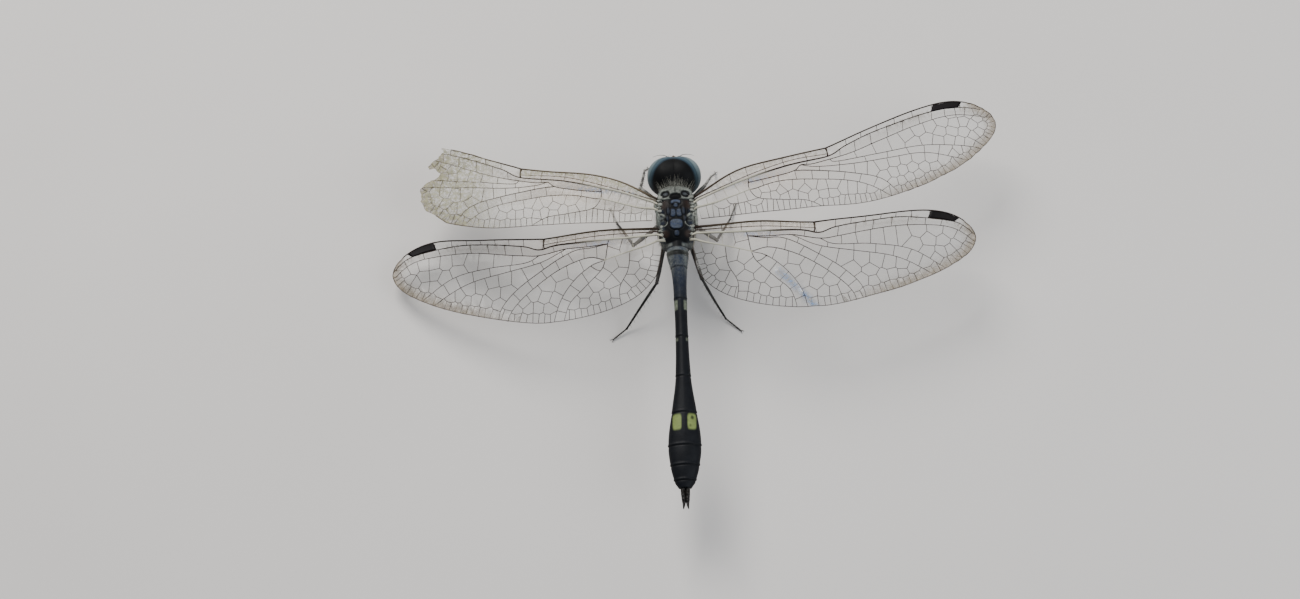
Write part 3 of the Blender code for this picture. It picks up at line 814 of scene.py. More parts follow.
# Points on a wing are (span, chord) from its root, chord towards the front edge. The long veins
# go by their usual short names, from sc and ra along the front to cu and an behind. Rungs cross
# the strips behind the front edge, and the stigma is the dark thick cell near the tip.
FOREWING = {
    "root": (1.95, 1.95, 9.1),
    "leading": ((0, 0.1), (5.7, 2.0), (14.5, 2.15), (21.5, 3.6), (27.4, 4.3), (30.9, 3.1)),
    "trailing": ((32.3, 0.7), (30.6, -1.5), (25.8, -3.75), (18.0, -4.9), (9.5, -3.75), (0, -2.5)),
    "veins": {
        "sc": ((-0.9, -0.35), (4.1, 0.75), (9.7, 1.7), (14.45, 1.5)),
        "ra": ((-0.9, -0.65), (4.4, 0.5), (9.6, 1.1), (14.4, 1.15), (16.6, 1.9), (20.5, 2.8),
               (26.2, 3.5), (29.1, 3.25), (31.6, 2.4)),
        "rp": ((5.75, 0.3), (8.9, 0.35), (10.7, 0.45), (11.5, 0.85), (13.0, 0.72), (17.0, 1.05),
               (20.2, 1.65), (23.8, 2.35), (28.3, 2.6), (32.0, 1.4)),
        "rp2": ((14.5, 0.84), (15.3, 0.38), (19.8, 0.2), (24.1, 0), (27.7, -0.9), (30.5, -2.2)),
        "ir": ((11.5, 0.85), (13.2, 0.25), (16.8, -0.3), (20.6, -0.55), (24.7, -1.05),
               (28.8, -3.2)),
        "ma": ((10.7, 0.45), (13.4, -0.3), (16.1, -1.25), (19.0, -2.65), (20.6, -5.4)),
        "mp": ((5.6, -0.55), (8.95, -0.3), (13.0, -1.1), (17.2, -2.7), (20.0, -5.4)),
        "cu": ((-0.9, -1.2), (1.5, -1.2), (3.0, -1.0), (5.6, -0.55)),
        "cua": ((5.6, -0.55), (6.3, -1.7), (8.6, -2.5), (11.0, -3.2), (13.0, -5.0)),
        "arc": ((5.9, 0.72), (5.75, 0.3), (5.6, -0.55)),
        "an": ((3.0, -1.0), (3.6, -1.7), (6.3, -1.7)),
    },
    "cell": 1.22, "row": 0.56,
    "front_rungs": (4.15, 5.9, 7.85, 9.85, 12.3, 14.5, 16.65, 18.4, 20.2, 22.2, 24.2, 26.4, 29.3),
    "second_rungs": (12.2, 15.8, 17.5, 19.3, 21.2, 23.0, 24.8, 26.2, 27.6),
    "stigma": ((26.65, 4.22), (26.2, 3.5), (27.6, 3.47), (29.1, 3.25), (29.6, 3.78), (28.2, 4.12)),
}
HINDWING = {
    "root": (1.95, -1.25, 9.0),
    "leading": ((0, 0), (6.0, 0.5), (12.0, 0.3), (18.5, 1.0), (23.8, 1.4), (26.9, 0.4)),
    "trailing": ((28.3, -1.8), (26.4, -4.2), (20.5, -6.9), (11.8, -8.9), (4.2, -8.0), (0.4, -5.5),
                 (-0.4, -2.2)),
    "veins": {
        "sc": ((-0.9, -0.4), (3.0, -0.1), (7.5, 0.0), (12.2, -0.3)),
        "ra": ((-0.9, -0.75), (3.1, -0.7), (10.1, -0.55), (12.4, -0.9), (14.2, -0.3), (17.8, 0.35),
               (21.6, 0.65), (26.2, 0.05), (28.3, -1.4)),
        "rp": ((5.2, -1.1), (7.4, -1.12), (9.65, -1.05), (12.5, -1.45), (14.7, -1.15), (19.7, -0.3),
               (23.7, -0.2), (26.4, -0.75), (28.5, -2.4)),
        "rp2": ((12.5, -1.45), (14.0, -2.1), (17.8, -2.2), (21.7, -2.85), (25.6, -5.4)),
        "ir": ((9.65, -1.05), (12.1, -2.2), (15.9, -2.9), (20.2, -3.7), (24.4, -6.0)),
        "ma": ((5.2, -1.1), (7.0, -1.3), (8.8, -1.4), (11.6, -2.8), (14.6, -4.8), (16.4, -6.7),
               (16.9, -8.8)),
        "mp": ((5.45, -2.8), (7.5, -2.3), (10.9, -3.5), (14.0, -5.7), (15.5, -7.35), (16.0, -9.2)),
        "cu": ((-0.9, -1.05), (0.1, -1.5), (1.3, -1.85), (2.85, -2.2), (5.45, -2.8)),
        "cua": ((5.45, -2.8), (7.0, -3.3), (8.85, -4.8), (10.2, -6.75), (11.1, -9.8)),
        "loop": ((5.45, -2.8), (6.0, -3.9), (7.9, -5.75), (9.3, -7.2), (10.0, -9.8)),
        "arc": ((5.0, -0.66), (5.2, -1.1), (5.45, -2.8)),
        "tri": ((6.0, -3.9), (6.5, -3.7), (7.0, -3.3)),
        "an": ((2.85, -2.2), (3.1, -4.2), (4.0, -6.2), (3.6, -9.0)),
    },
    "cell": 1.38, "row": 0.66,
    "front_rungs": (2.6, 4.6, 6.6, 8.6, 10.6, 12.1, 14.1, 15.7, 17.2, 18.8, 20.3, 21.9, 23.75,
                    26.3),
    "second_rungs": (7.5, 11.0, 14.4, 16.2, 18.0, 19.9, 21.6, 23.3, 25.0),
    "stigma": ((23.95, 1.33), (23.6, 0.58), (25.0, 0.38), (26.2, 0.05), (26.75, 0.42),
               (25.4, 1.08)),
}
TORN_EDGE = (
    (23.3, 3.85), (22.97, 3.40), (23.28, 2.96), (23.48, 2.64), (24.41, 1.58), (24.11, 1.22),
    (23.53, 1.34), (22.88, 0.87), (23.29, 0.16), (23.76, 0.04), (23.93, -0.26), (24.67, -1.11),
    (24.37, -1.88), (24.36, -2.48), (23.6, -3.52), (22.4, -3.95),
)
FOLD_START, FOLD_WAY = (8.0, -4.6), (0.64, -0.77)

# The front edge is notched at this knot. Then how far each long vein stands above or below the
# wing's middle sheet, and the radii along each, from root to tip.
NODUS = 2
RELIEF = {"sc": -0.20, "ra": 0.22, "rp": -0.12, "ir": 0.07, "ma": 0.10, "mp": -0.14,
          "cu": 0.16, "cua": 0.10}
VEIN_RADII = {
    "sc": (0.09, 0.055, 0.045, 0.04), "ra": (0.15, 0.10, 0.065, 0.055, 0.05, 0.04),
    "rp": (0.05, 0.045, 0.04, 0.03), "rp2": (0.04, 0.03), "ir": (0.04, 0.03),
    "ma": (0.05, 0.04, 0.03), "mp": (0.05, 0.04, 0.03), "cu": (0.14, 0.09, 0.05),
    "cua": (0.04, 0.03), "arc": (0.05, 0.04), "an": (0.04, 0.03), "loop": (0.04, 0.03),
    "tri": (0.04, 0.04),
}
FRONT_RADII = (0.13, 0.095, 0.08, 0.075, 0.075, 0.07, 0.055)
REAR_RADII = (0.05, 0.035, 0.03, 0.035)
NOTCH_RADII = (0.12, 0.07, 0.06, 0.08)
VEIN_WIDTH = 0.030
STIGMA_HALF, FILM_THICKNESS = 0.08, 0.02
ROOT_SPAN = -0.9


def run_of(knots, steps=8):
    """A smooth run over the flat wing."""
    return swept([(x, y, 0.0) for x, y in knots], steps)


def flat_rows(points):
    """The span and chord of points, in rows."""
    return np.array([tuple(point)[:2] for point in points])


def chord_at(run, span):
    """The chord of a run where it crosses a span."""
    return np.interp(span, *flat_rows(run).T)


def on(run, span, above=0.0):
    """The point of a run at a span, or a little above it."""
    return Vector((span, chord_at(run, span) + above, 0))


def sides(border):
    """The sides of a closed border, each as its two ends."""
    return zip(border, [*border[1:], border[0]])


def within(place, border):
    """Whether a place lies inside a closed border."""
    x, y = place[:2]
    inside = False
    for a, b in sides(border):
        if (a.y > y) != (b.y > y):
            inside ^= x < a.x + (b.x - a.x) * (y - a.y) / (b.y - a.y)
    return inside


def all_within(places, border):
    """The same for many places at once."""
    x, y = places.T
    inside = np.zeros(len(places), bool)
    for a, b in sides(border):
        if abs(b.y - a.y) > 1e-9:
            crossing = x < a.x + (b.x - a.x) * (y - a.y) / (b.y - a.y)
            inside ^= ((a.y > y) != (b.y > y)) & crossing
    return inside


def to_sides(place, border):
    """How far a place is from the sides of a closed border."""
    gaps = []
    for a, b in sides(border):
        foot, share = geometry.intersect_point_line(place, a.to_2d(), b.to_2d())
        gaps.append(((foot if 0 < share < 1 else a).to_2d() - place).length)
    return min(gaps)


def distance_to(track, places):
    """How far each place is from the nearest point of a track."""
    return np.sqrt(((places[:, None] - track[None]) ** 2).sum(-1)).min(1)


OVERSHOOT = 0.06
CROSSING_WELD, CELL_WELD = 0.01, 0.004


def net_of(border, runs):
    """Lays runs over a flat border, splits them where they cross, drops loose ends, and joins
    what is left into a flat shape with a face for each cell."""
    outline = [point.to_2d() for point in border]
    around = [list(range(len(border)))[::-1]]
    points, edges = list(outline), []
    for run in runs:
        run, start = [point.to_2d() for point in run], len(points)
        points.append(run[0] - (run[1] - run[0]).normalized() * OVERSHOOT)
        points += run
        points.append(run[-1] + (run[-1] - run[-2]).normalized() * OVERSHOOT)
        edges += [(number, number + 1) for number in range(start, len(points) - 1)]
    flat, lines, _, _, sources, _ = geometry.delaunay_2d_cdt(
        points, edges, around, 0, CROSSING_WELD)
    drawn = [tuple(line) for line, source in zip(lines, sources) if source]
    inside = all_within(np.array([(flat[a] + flat[b]) / 2 for a, b in drawn]), border)
    drawn = [line for line, keep in zip(drawn, inside) if keep]
    loose = True
    while loose:
        count = np.bincount(np.array(drawn).ravel(), minlength=len(flat))
        joined = [(a, b) for a, b in drawn if min(count[a], count[b]) > 1
                  or within(flat[a], border) != within(flat[b], border)
                  or min(to_sides(flat[end], border) for end in (a, b)) < CROSSING_WELD]
        loose, drawn = len(joined) < len(drawn), joined
    used = sorted({end for line in drawn for end in line})
    order = {end: number + len(outline) for number, end in enumerate(used)}
    flat, lines, cells, _, sources, origins = geometry.delaunay_2d_cdt(
        outline + [flat[end] for end in used], [(order[a], order[b]) for a, b in drawn],
        around, 0, CELL_WELD)
    shape = bmesh.new()
    corners = [shape.verts.new((point.x, point.y, 0.0)) for point in flat]
    for cell, origin in zip(cells, origins):
        if origin:
            shape.faces.new([corners[number] for number in cell])
    free = [shape.edges.get((corners[a], corners[b]))
            for (a, b), source in zip(lines, sources) if not source]
    bmesh.ops.dissolve_edges(shape, use_verts=False, edges=[
        edge for edge in free if edge and len(edge.link_faces) == 2])
    stray = [point for point in shape.verts if not point.link_faces]
    bmesh.ops.delete(shape, geom=stray, context="VERTS")
    return shape


GRID = 0.13
FEWEST_PLACES = 25
BARE_MARGIN, ROW_DEPTH = 0.45, 0.40
CELL_STRETCH = np.array((1.0, 0.82))
ROUNDS = 30
SEED_SCATTER, ROW_SCATTER = 0.05, 0.035


def seeds_in(region, row, size, wing_rng):
    """The middles of the cells in one patch of wing: those of the margin's row that fall in it,
    and others spread evenly, close together near the margin and wide apart inside."""
    corners = flat_rows(region)
    axes = (np.arange(low, high, GRID) for low, high in zip(corners.min(0), corners.max(0)))
    grid = np.stack(np.meshgrid(*axes), axis=-1).reshape(-1, 2)
    grid = grid[all_within(grid, region)]
    if len(grid) < FEWEST_PLACES:
        return []
    rows = row[all_within(row, region)]
    to_margin = distance_to(row, grid)
    wanted = size * (0.62 + 0.38 * soft_step(0.6, 2.6, to_margin))
    weight = (to_margin > BARE_MARGIN) / wanted ** 2
    count = int(round((weight * (to_margin > BARE_MARGIN + ROW_DEPTH)).sum() * GRID ** 2))
    count = max(count, 0 if len(rows) > 1 else 1)
    if count + len(rows) < 2 or (count and (weight > 0).sum() <= count):
        return []
    seeds = grid[:0]
    if count:
        seeds = grid[wing_rng.choice(len(grid), count, replace=False, p=weight / weight.sum())]
    seeds = np.concatenate((seeds, rows))
    for _ in range(ROUNDS):
        gaps = grid[:, None] * CELL_STRETCH - seeds[None] * CELL_STRETCH
        nearest = (gaps ** 2).sum(-1).argmin(1)
        for number in range(count):
            mine = (nearest == number) & (weight > 0)
            if mine.any():
                seeds[number] = np.average(grid[mine], axis=0, weights=weight[mine])
    seeds[:count] += wing_rng.normal(0, SEED_SCATTER, (count, 2))
    return [Vector(seed) for seed in seeds]


def walls_between(seeds, region):
    """The cross-veins of one patch of wing: the lines half way between neighbouring seeds."""
    far = [Vector((x, y)) for x in (-90, 90) for y in (-90, 90)]
    corners, _, triangles, *_ = geometry.delaunay_2d_cdt(seeds + far, [], [], 0, 1e-6)
    middles, shared = [], {}
    for number, triangle in enumerate(triangles):
        a, b, c = (corners[corner] for corner in triangle)
        twice = 2 * ((b - a).cross(c - a))
        ab, ac = (b - a).length_squared, (c - a).length_squared
        middles.append(a + Vector(((c - a).y * ab - (b - a).y * ac,
                                   (b - a).x * ac - (c - a).x * ab)) / twice)
        for pair in sides(triangle):
            shared.setdefault(frozenset(pair), []).append(number)
    walls = []
    for start, end in [pair for pair in shared.values() if len(pair) == 2]:
        start, end = middles[start], middles[end]
        crossings = [geometry.intersect_line_line_2d(start, end, a.to_2d(), b.to_2d())
                     for a, b in sides(region)]
        stops = sorted([0.0, 1.0] + [(place - start).length / (end - start).length
                                     for place in crossings if place])
        for first, last in zip(stops, stops[1:]):
            if last - first > 1e-5 and within(start.lerp(end, (first + last) / 2), region):
                walls.append([start.lerp(end, first).to_3d(), start.lerp(end, last).to_3d()])
    return walls


def margin_row(margin, spacing, wing_rng):
    """Seeds in a row just inside the margin, for the small cells along it."""
    stops = np.concatenate(((0.0,), np.cumsum(np.linalg.norm(np.diff(margin, axis=0), axis=1))))
    where = np.arange(0.3, stops[-1], spacing)
    row = np.stack([np.interp(where, stops, margin[:, part]) for part in (0, 1)], axis=1)
    ahead = np.gradient(row, axis=0)
    inward = np.stack((ahead[:, 1], -ahead[:, 0]), axis=1)
    row += inward / np.linalg.norm(ahead, axis=1, keepdims=True) * ROW_DEPTH
    return row + wing_rng.normal(0, ROW_SCATTER, row.shape)


def drawn(plan, torn, wing_rng):
    """The plan of a wing, with its veins and edges drawn as smooth runs: its front, the edge
    behind it, and its border from the notch round to the root, ragged where it is torn."""
    front = run_of(plan["leading"][:NODUS + 1])
    rest = run_of((*plan["leading"][NODUS:], *plan["trailing"]))
    if torn:
        ragged = []
        for start, end in zip(TORN_EDGE, TORN_EDGE[1:]):
            for share in (0.0, 0.35, 0.68):
                tooth = Vector((wing_rng.uniform(-0.09, 0.09), wing_rng.uniform(-0.06, 0.06), 0))
                ragged.append(Vector((*start, 0)).lerp(Vector((*end, 0)), share) + tooth)
        ragged.append(Vector((*TORN_EDGE[-1], 0)))
        left, back = TORN_EDGE[0][0] - 0.3, TORN_EDGE[-1][0] - 0.3
        split = max(number for number, point in enumerate(rest) if point.x < left and point.y > 0)
        again = min(number for number, point in enumerate(rest) if point.x < back and point.y < 0)
        whole_front, behind = front + rest[1:split + 1], [ragged[-1], *rest[again:]]
        rest = rest[:split + 1] + ragged + rest[again:]
    else:
        end = plan["stigma"][-2][0] + 0.5
        whole_front = front + [point for point in rest[1:] if point.y > -0.5 and point.x < end]
        behind = [*front, *rest][len(whole_front) - 1:]
    runs = {vein: run_of(knots) for vein, knots in plan["veins"].items()}
    return {**plan, "torn": torn, "runs": runs, "front": whole_front, "behind": behind,
            "rest": rest, "border": [*front[:-1], *rest], "stigma_end": plan["stigma"][-2][0]}


def film_over(net):
    """The clear skin over a net: thin, with a face on each side and round its edge."""
    film = net.copy()
    bmesh.ops.triangulate(film, faces=film.faces[:])
    long = [edge for edge in film.edges if edge.calc_length() > 0.35]
    bmesh.ops.subdivide_edges(film, edges=long, cuts=1, use_grid_fill=True)
    bmesh.ops.triangulate(film, faces=film.faces[:])
    thicken(film, FILM_THICKNESS)
    bmesh.ops.translate(film, vec=(0, 0, -FILM_THICKNESS / 2), verts=film.verts)
    return film


def thicken(sheet, thickness):
    """Gives a flat sheet a second side above it, closed round the edge."""
    top = bmesh.ops.extrude_face_region(sheet, geom=sheet.faces[:], use_keep_orig=True)["geom"]
    bmesh.ops.translate(sheet, vec=(0, 0, thickness),
                        verts=[part for part in top if isinstance(part, bmesh.types.BMVert)])


def ridge_lines(net):
    """Turns each line of a flat net into a fine solid vein with a ridge above and below."""
    border = {point for edge in net.edges if edge.is_boundary for point in edge.verts}
    lines = set(net.verts)
    bmesh.ops.inset_individual(net, faces=net.faces[:], thickness=VEIN_WIDTH, use_even_offset=True)
    inner = {point for face in net.faces for point in face.verts} - lines
    for point in inner:
        home = next((edge.other_vert(point) for edge in point.link_edges
                     if edge.other_vert(point) in lines), None)
        if home and (point.co - home.co).length > 3 * VEIN_WIDTH:
            point.co = home.co + (point.co - home.co).normalized() * 3 * VEIN_WIDTH
    cells = [face for face in net.faces if all(point in inner for point in face.verts)]
    bmesh.ops.delete(net, geom=cells, context="FACES_ONLY")
    for point in lines - border:
        point.co.z = VEIN_WIDTH
    twin = bmesh.ops.duplicate(net, geom=net.verts[:] + net.edges[:] + net.faces[:])["vert_map"]
    for point in lines - border:
        twin[point].co.z = -VEIN_WIDTH
    bmesh.ops.remove_doubles(net, verts=net.verts, dist=0.0005)


def stigma_pad(corners):
    """The dark thickened cell near the tip."""
    pad = bmesh.new()
    a, b, c, d, e, f = (pad.verts.new((x, y, -STIGMA_HALF)) for x, y in corners)
    pad.faces.new((a, b, c, f))
    pad.faces.new((f, c, d, e))
    bmesh.ops.subdivide_edges(pad, edges=pad.edges[:], cuts=5, use_grid_fill=True)
    thicken(pad, 2 * STIGMA_HALF)
    return mesh_of("pad", pad)


def cell_net(wing, wing_rng):
    """The flat net of a wing: long veins, rungs along the front, and cells between the rest."""
    ra, rp, runs = wing["runs"]["ra"], wing["runs"]["rp"], list(wing["runs"].values())
    for span in wing["front_rungs"]:
        runs.append([on(wing["front"], span + (0.12 if span > 13 else 0.0), 0.05), on(ra, span)])
    for span in wing["second_rungs"]:
        runs.append([on(ra, span) + Vector((0.05, 0, 0)), on(rp, span - 0.1)])
    margin = [point for point in wing["rest"]
              if point.y < chord_at(rp, point.x) or point.x > wing["stigma_end"] + 1.0]
    row = margin_row(flat_rows(margin), wing["row"], wing_rng)
    cross, patches = [], net_of(wing["border"], runs)
    for patch_face in patches.faces:
        region = [point.co.copy() for point in patch_face.verts]
        middle = sum(region, Vector()) / len(region)
        in_front = middle.y > chord_at(rp if middle.x > rp[0].x else ra, middle.x) - 0.05
        if not in_front or middle.x > wing["stigma_end"]:
            seeds = seeds_in(region, row, wing["cell"], wing_rng)
            cross += walls_between(seeds, region) if seeds else []
    net = net_of(wing["border"], runs + cross)
    bmesh.ops.remove_doubles(net, verts=net.verts, dist=0.10)
    bmesh.ops.recalc_face_normals(net, faces=net.faces)
    return net


def add_stems(net, wing):
    """Adds the round stems of the long veins, the edges and the notch to a net."""
    for vein, run in wing["runs"].items():
        run = [point for point in run if within(point, wing["border"]) or point.x < 0.3]
        if len(run) > 3:
            stem(net, run, VEIN_RADII[vein], sides=8)
    stem(net, [Vector((ROOT_SPAN, -0.3, 0)), *wing["front"]], FRONT_RADII, sides=8)
    stem(net, wing["behind"], REAR_RADII, sides=6)
    span, chord = wing["leading"][NODUS]
    notch, bulge = Vector((span, chord - 0.05, 0)), Vector((0.08, 0, 0))
    foot = on(wing["runs"]["ra"], span) - Vector((0.1, 0, 0))
    stem(net, [notch, notch.lerp(foot, 0.3) + bulge, notch.lerp(foot, 0.7) + bulge, foot],
         NOTCH_RADII, sides=8)


RIM_WIDTH, FOLD_WIDTH, RIB_WIDTH = 0.95, 0.32, 0.16


def marks_on(wing, span, chord, to_rim, to_vein, folded):
    """Where a wing is dusty, tan or dark, where it carries a painted warm tint of its surroundings
    or a painted blue glint, and where its stems are cream with a painted highlight, each from 0
    to 1, and how far it is crumpled and folded."""
    ra, torn = wing["runs"]["ra"], wing["torn"]
    pigment = np.zeros(len(span))
    if not torn:
        corners = [Vector(corner) for corner in wing["stigma"]]
        middle = sum(corners, Vector((0, 0))) / len(corners)
        wider = [middle + (corner - middle) * 1.06 for corner in corners]
        pigment = all_within(np.stack((span, chord), axis=1), wider).astype(float)
    past_stigma = soft_step(0, 1, span - wing["stigma_end"])
    band = hump(to_rim, RIM_WIDTH) * soft_step(0.42, 0.78, span / wing["leading"][-1][0])
    band *= (1 - pigment) * np.maximum(chord_at(ra, span) > chord, past_stigma)
    crumple = np.maximum(band, soft_step(15, 22, span)) if torn else band
    along, across = span - FOLD_START[0], chord - FOLD_START[1]
    along, across = (along * FOLD_WAY[0] + across * FOLD_WAY[1],
                     across * FOLD_WAY[0] - along * FOLD_WAY[1])
    fold = hump(across, FOLD_WIDTH) * soft_step(-0.6, 0.6, along) * folded
    in_front = ((chord > chord_at(wing["runs"]["sc"], span)) * soft_step(0, 2, span)
                * (span < wing["leading"][NODUS][0] + 0.2) * (to_rim > 0.3))
    # A painted glint near the root, beside the ra vein.
    painted_gleam = hump(span - 6, 4) * hump(chord - chord_at(ra, 6) + 0.3, 0.35)
    dusty_band, dusty_front, dusty = (crumple, 0.75, 0.30) if torn else (0.25 * band, 0.35, 0.0)
    # Cream stems of ra and cu near the root, brightened by a painted highlight.
    ribs = np.maximum(hump(to_vein["ra"], RIB_WIDTH), hump(to_vein["cu"], RIB_WIDTH))
    return {
        "dust": np.clip(dusty_band + dusty_front * in_front + dusty, 0, 1) * (1 - pigment),
        "tan": (0.7 if torn else 1.0) * band * (1 - pigment),
        "pigment": pigment,
        # A painted warm tint near the nodus, the colour of the surroundings seen through the skin.
        "painted_backdrop_tint": hump(span - 9, 7) * hump(chord - 0.5, 2.5),
        # A painted blue reflection along the fold and at the glint near the root.
        "painted_glint": np.clip(fold + 0.6 * painted_gleam, 0, 1),
        "cream": (1 - soft_step(5.0, 9.0, span)) * ribs,
    }, crumple, fold


WAVE, CREASE, FOLD_RISE = 0.06, 0.13, 0.22
PLEAT_WIDTH, TIP_FLATTER = 0.40, 0.75


def blade(name, plan, seed, angles, torn=False, folded=False):
    """One wing: its net of veins, its clear skin and its stigma, posed on the body by its sweep,
    droop and pitch in degrees."""
    wing_rng = np.random.default_rng(seed)
    side = 1 if name.endswith("right") else -1
    wing = drawn(plan, torn, wing_rng)
    net = cell_net(wing, wing_rng)
    film = film_over(net)
    ridge_lines(net)
    add_stems(net, wing)
    if not torn:
        net.from_mesh(stigma_pad(plan["stigma"]))

    sweep, droop, pitch = (math.radians(angle) for angle in angles)
    root = Vector((side, 1, 1)) * Vector(plan["root"])
    turned = Euler((-pitch, side * droop, side * sweep)).to_matrix().to_4x4()
    pose = Matrix.Translation(root) @ turned @ Matrix.Diagonal((side, 1, 1, 1))
    for part, shape, material in (("veins", net, VEIN), ("skin", film, FILM)):
        mesh = mesh_of(part, shape)
        places = numbers(mesh.vertices, "co")
        span, chord, _ = places.T
        to_rim = distance_to(flat_rows(wing["rest"]), places[:, :2])
        to_vein = {vein: distance_to(flat_rows(wing["runs"][vein]), places[:, :2])
                   for vein in RELIEF}
        marks, crumple, fold = marks_on(wing, span, chord, to_rim, to_vein, folded)
        flat_sheet = np.stack([0.02 + (span + 1) / 35 * 0.96, 0.25 + (chord + 2) / 35], axis=1)

        waves = np.sin(span * 0.9 + seed) * np.sin(chord * 1.1 + 2 * seed)
        creases = np.sin(5.1 * span + 2.3 * chord) * np.cos(4.3 * chord - 1.7 * span)
        dive = (1.05 + 1.3 * math.sin(droop)) * np.clip(span / ROOT_SPAN, 0, 1) ** 1.3
        flatter = 1 - TIP_FLATTER * np.clip(span / plan["leading"][-1][0], 0, 1)
        places[:, 2] += WAVE * waves + CREASE * crumple * creases + FOLD_RISE * fold - dive
        for vein, height in RELIEF.items():
            places[:, 2] += height * hump(to_vein[vein], PLEAT_WIDTH) * flatter
        move(mesh, places)
        for mark, strength in marks.items():
            paint(mesh, mark, strength)
        mesh.transform(pose)
        if side < 0:
            mesh.flip_normals()
        mesh.update()
        below = numbers(mesh.polygons, "normal") @ np.array(pose.to_3x3().col[2]) < 0
        below = np.repeat(below, counts(mesh.polygons, "loop_total"))
        lay_out(mesh, flat_sheet[counts(mesh.loops, "vertex_index")] + below[:, None] * (0.0, 0.5))
        made = piece(f"{name}_{part}", mesh, material, smooth=part == "veins")
    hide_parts(name)


VEIN, shader, place = finish("wing_vein", Specular_IOR_Level=0.12)
dust, cream, pigment = place.painted("dust", "cream", "pigment")
cloud, grit = place.noise(1.5, 3.0), place.noise(14.0, 4.0, 0.7)
shade = cloud.into(colour(30, 23, 20), colour(52, 42, 36))
shade = (0.5 * dust).into(shade, colour(120, 108, 88))
# The cream stems near the root, brightened by a painted highlight along them.
shade = (cream * (0.6 + 0.5 * grit)).into(shade, colour(188, 184, 166))
shade = pigment.into(shade, cloud.into(colour(10, 7, 9), colour(19, 14, 16)))
wear(shader, Base_Color=shade, Roughness=0.40 + 0.2 * grit,
     Normal=place.bump(grit, 0.000006, 0.4))

# The clear skin of the wings: tan and chalky where dusty, with a painted warm tint of the
# surroundings near the nodus and a painted blue reflection along the fold and near the root.
FILM, shader, place = finish("wing_film", Specular_IOR_Level=0.6)
dust, tan, painted_backdrop_tint, painted_glint = place.painted("dust", "tan", "painted_backdrop_tint", "painted_glint")
cloud, grit, fleck = place.noise(0.8, 3.0), place.noise(7.0, 5.0, 0.7), place.noise(3.0, 4.0, 0.7)
chalk = dust * fleck.above(0.36, 0.60)
grainy = 0.7 + 0.5 * grit
shade = cloud.into(colour(122, 120, 116), colour(146, 143, 136))
# The painted warm tint of the surroundings near the nodus, a little more opaque.
shade = painted_backdrop_tint.into(shade, colour(160, 136, 108))
shade = (tan * grainy).into(shade, colour(118, 100, 78))
shade = (chalk * grainy).into(shade, colour(150, 146, 116))
# The painted blue reflection, made more opaque.
shade = (painted_glint * fleck.above(0.4, 0.6)).into(shade, colour(96, 142, 196))
alpha = 0.06 + 0.05 * painted_backdrop_tint + 0.46 * tan * (0.35 + grit) + 0.55 * chalk + 0.45 * painted_glint + 0.05 * grit
wear(shader, Base_Color=shade, Roughness=0.16 + 0.4 * dust + 0.3 * tan, Alpha=alpha,
     Normal=place.bump(grit, 0.000008, 0.3))

blade("forewing_right", FOREWING, 3, (13, 3, 3))
blade("forewing_left", FOREWING, 4, (11, 8, 3), torn=True)
blade("hindwing_right", HINDWING, 5, (0, 3, 0), folded=True)
blade("hindwing_left", HINDWING, 6, (1.5, 15, 0))

# ---- Wing hinges --------------------------------------------------------------------------
# Small horny plates that tip and turn the wing when the muscles pull on them: a scale in front,
# then a row that carries the main veins. They are let into soft skin at each wing's root, inside
# a pale ridge down each side of the back.

HINGE, shader, place = finish("hinge_plate", Specular_IOR_Level=0.3)
cloud, grit = place.noise(3.0, 3.0), place.noise(16.0, 4.0, 0.7)
whitish = cloud.above(0.35, 0.6) * (0.6 + 0.5 * grit)
wear(shader, Base_Color=whitish.into(colour(26, 25, 25), colour(128, 130, 122)),
     Roughness=0.45 + 0.2 * grit, Normal=place.bump(grit, 0.00001, 0.5))
HINGE_PLATES = (  # middle, to the side of the body and from the wing's root, and half size
    (1.56, 0.10, -0.06, 0.30, 0.20, 0.15), (1.66, -0.28, -0.02, 0.30, 0.16, 0.13),
    (1.60, -0.66, 0.00, 0.32, 0.18, 0.14), (1.70, -1.02, -0.02, 0.24, 0.14, 0.12),
    (1.62, -1.36, -0.06, 0.30, 0.17, 0.12), (1.84, -1.80, -0.16, 0.20, 0.24, 0.11),
)
shape = bmesh.new()
for plan, count, inward in ((FOREWING, 6, 0.0), (HINDWING, 4, 0.10)):
    for order, (x, y, z, *half) in enumerate(HINGE_PLATES[:count]):
        x, y, z = x - inward * order, plan["root"][1] + y, plan["root"][2] + z - inward * order
        for sign in (-1, 1):
            ball(shape, (sign * x, y, z), half, 2.4, around=20, up=12)
piece("wing_hinges", mesh_of("hinges", shape), HINGE)

RIDGES = (
    ((-2.12, 1.8, 8.8), (-2.08, 1.2, 9.0), (-1.92, 0.3, 8.98), (-1.8, -0.5, 8.96),
     (-1.72, -1.25, 8.8)),
    ((2.02, 1.8, 8.8), (2.05, 1.1, 9.0), (2.04, 0.3, 8.98), (2.06, -0.5, 8.96),
     (2.08, -1.1, 8.8)),
)
shape = bmesh.new()
for knots in RIDGES:
    stem(shape, swept(knots), (0.08, 0.17, 0.12, 0.16, 0.07), sides=14, flat=0.8)
ridges = mesh_of("ridges", shape)
paint(ridges, "pale", np.full(len(ridges.vertices), 0.6))
piece("wing_ridges", ridges, SHELL)

# ---- Hair ---------------------------------------------------------------------------------
# Soft pale hair: a fan that stands forward from the collar over the eyes, a fine fuzz on the
# thorax and the base of the abdomen, and short black bristles on the face.

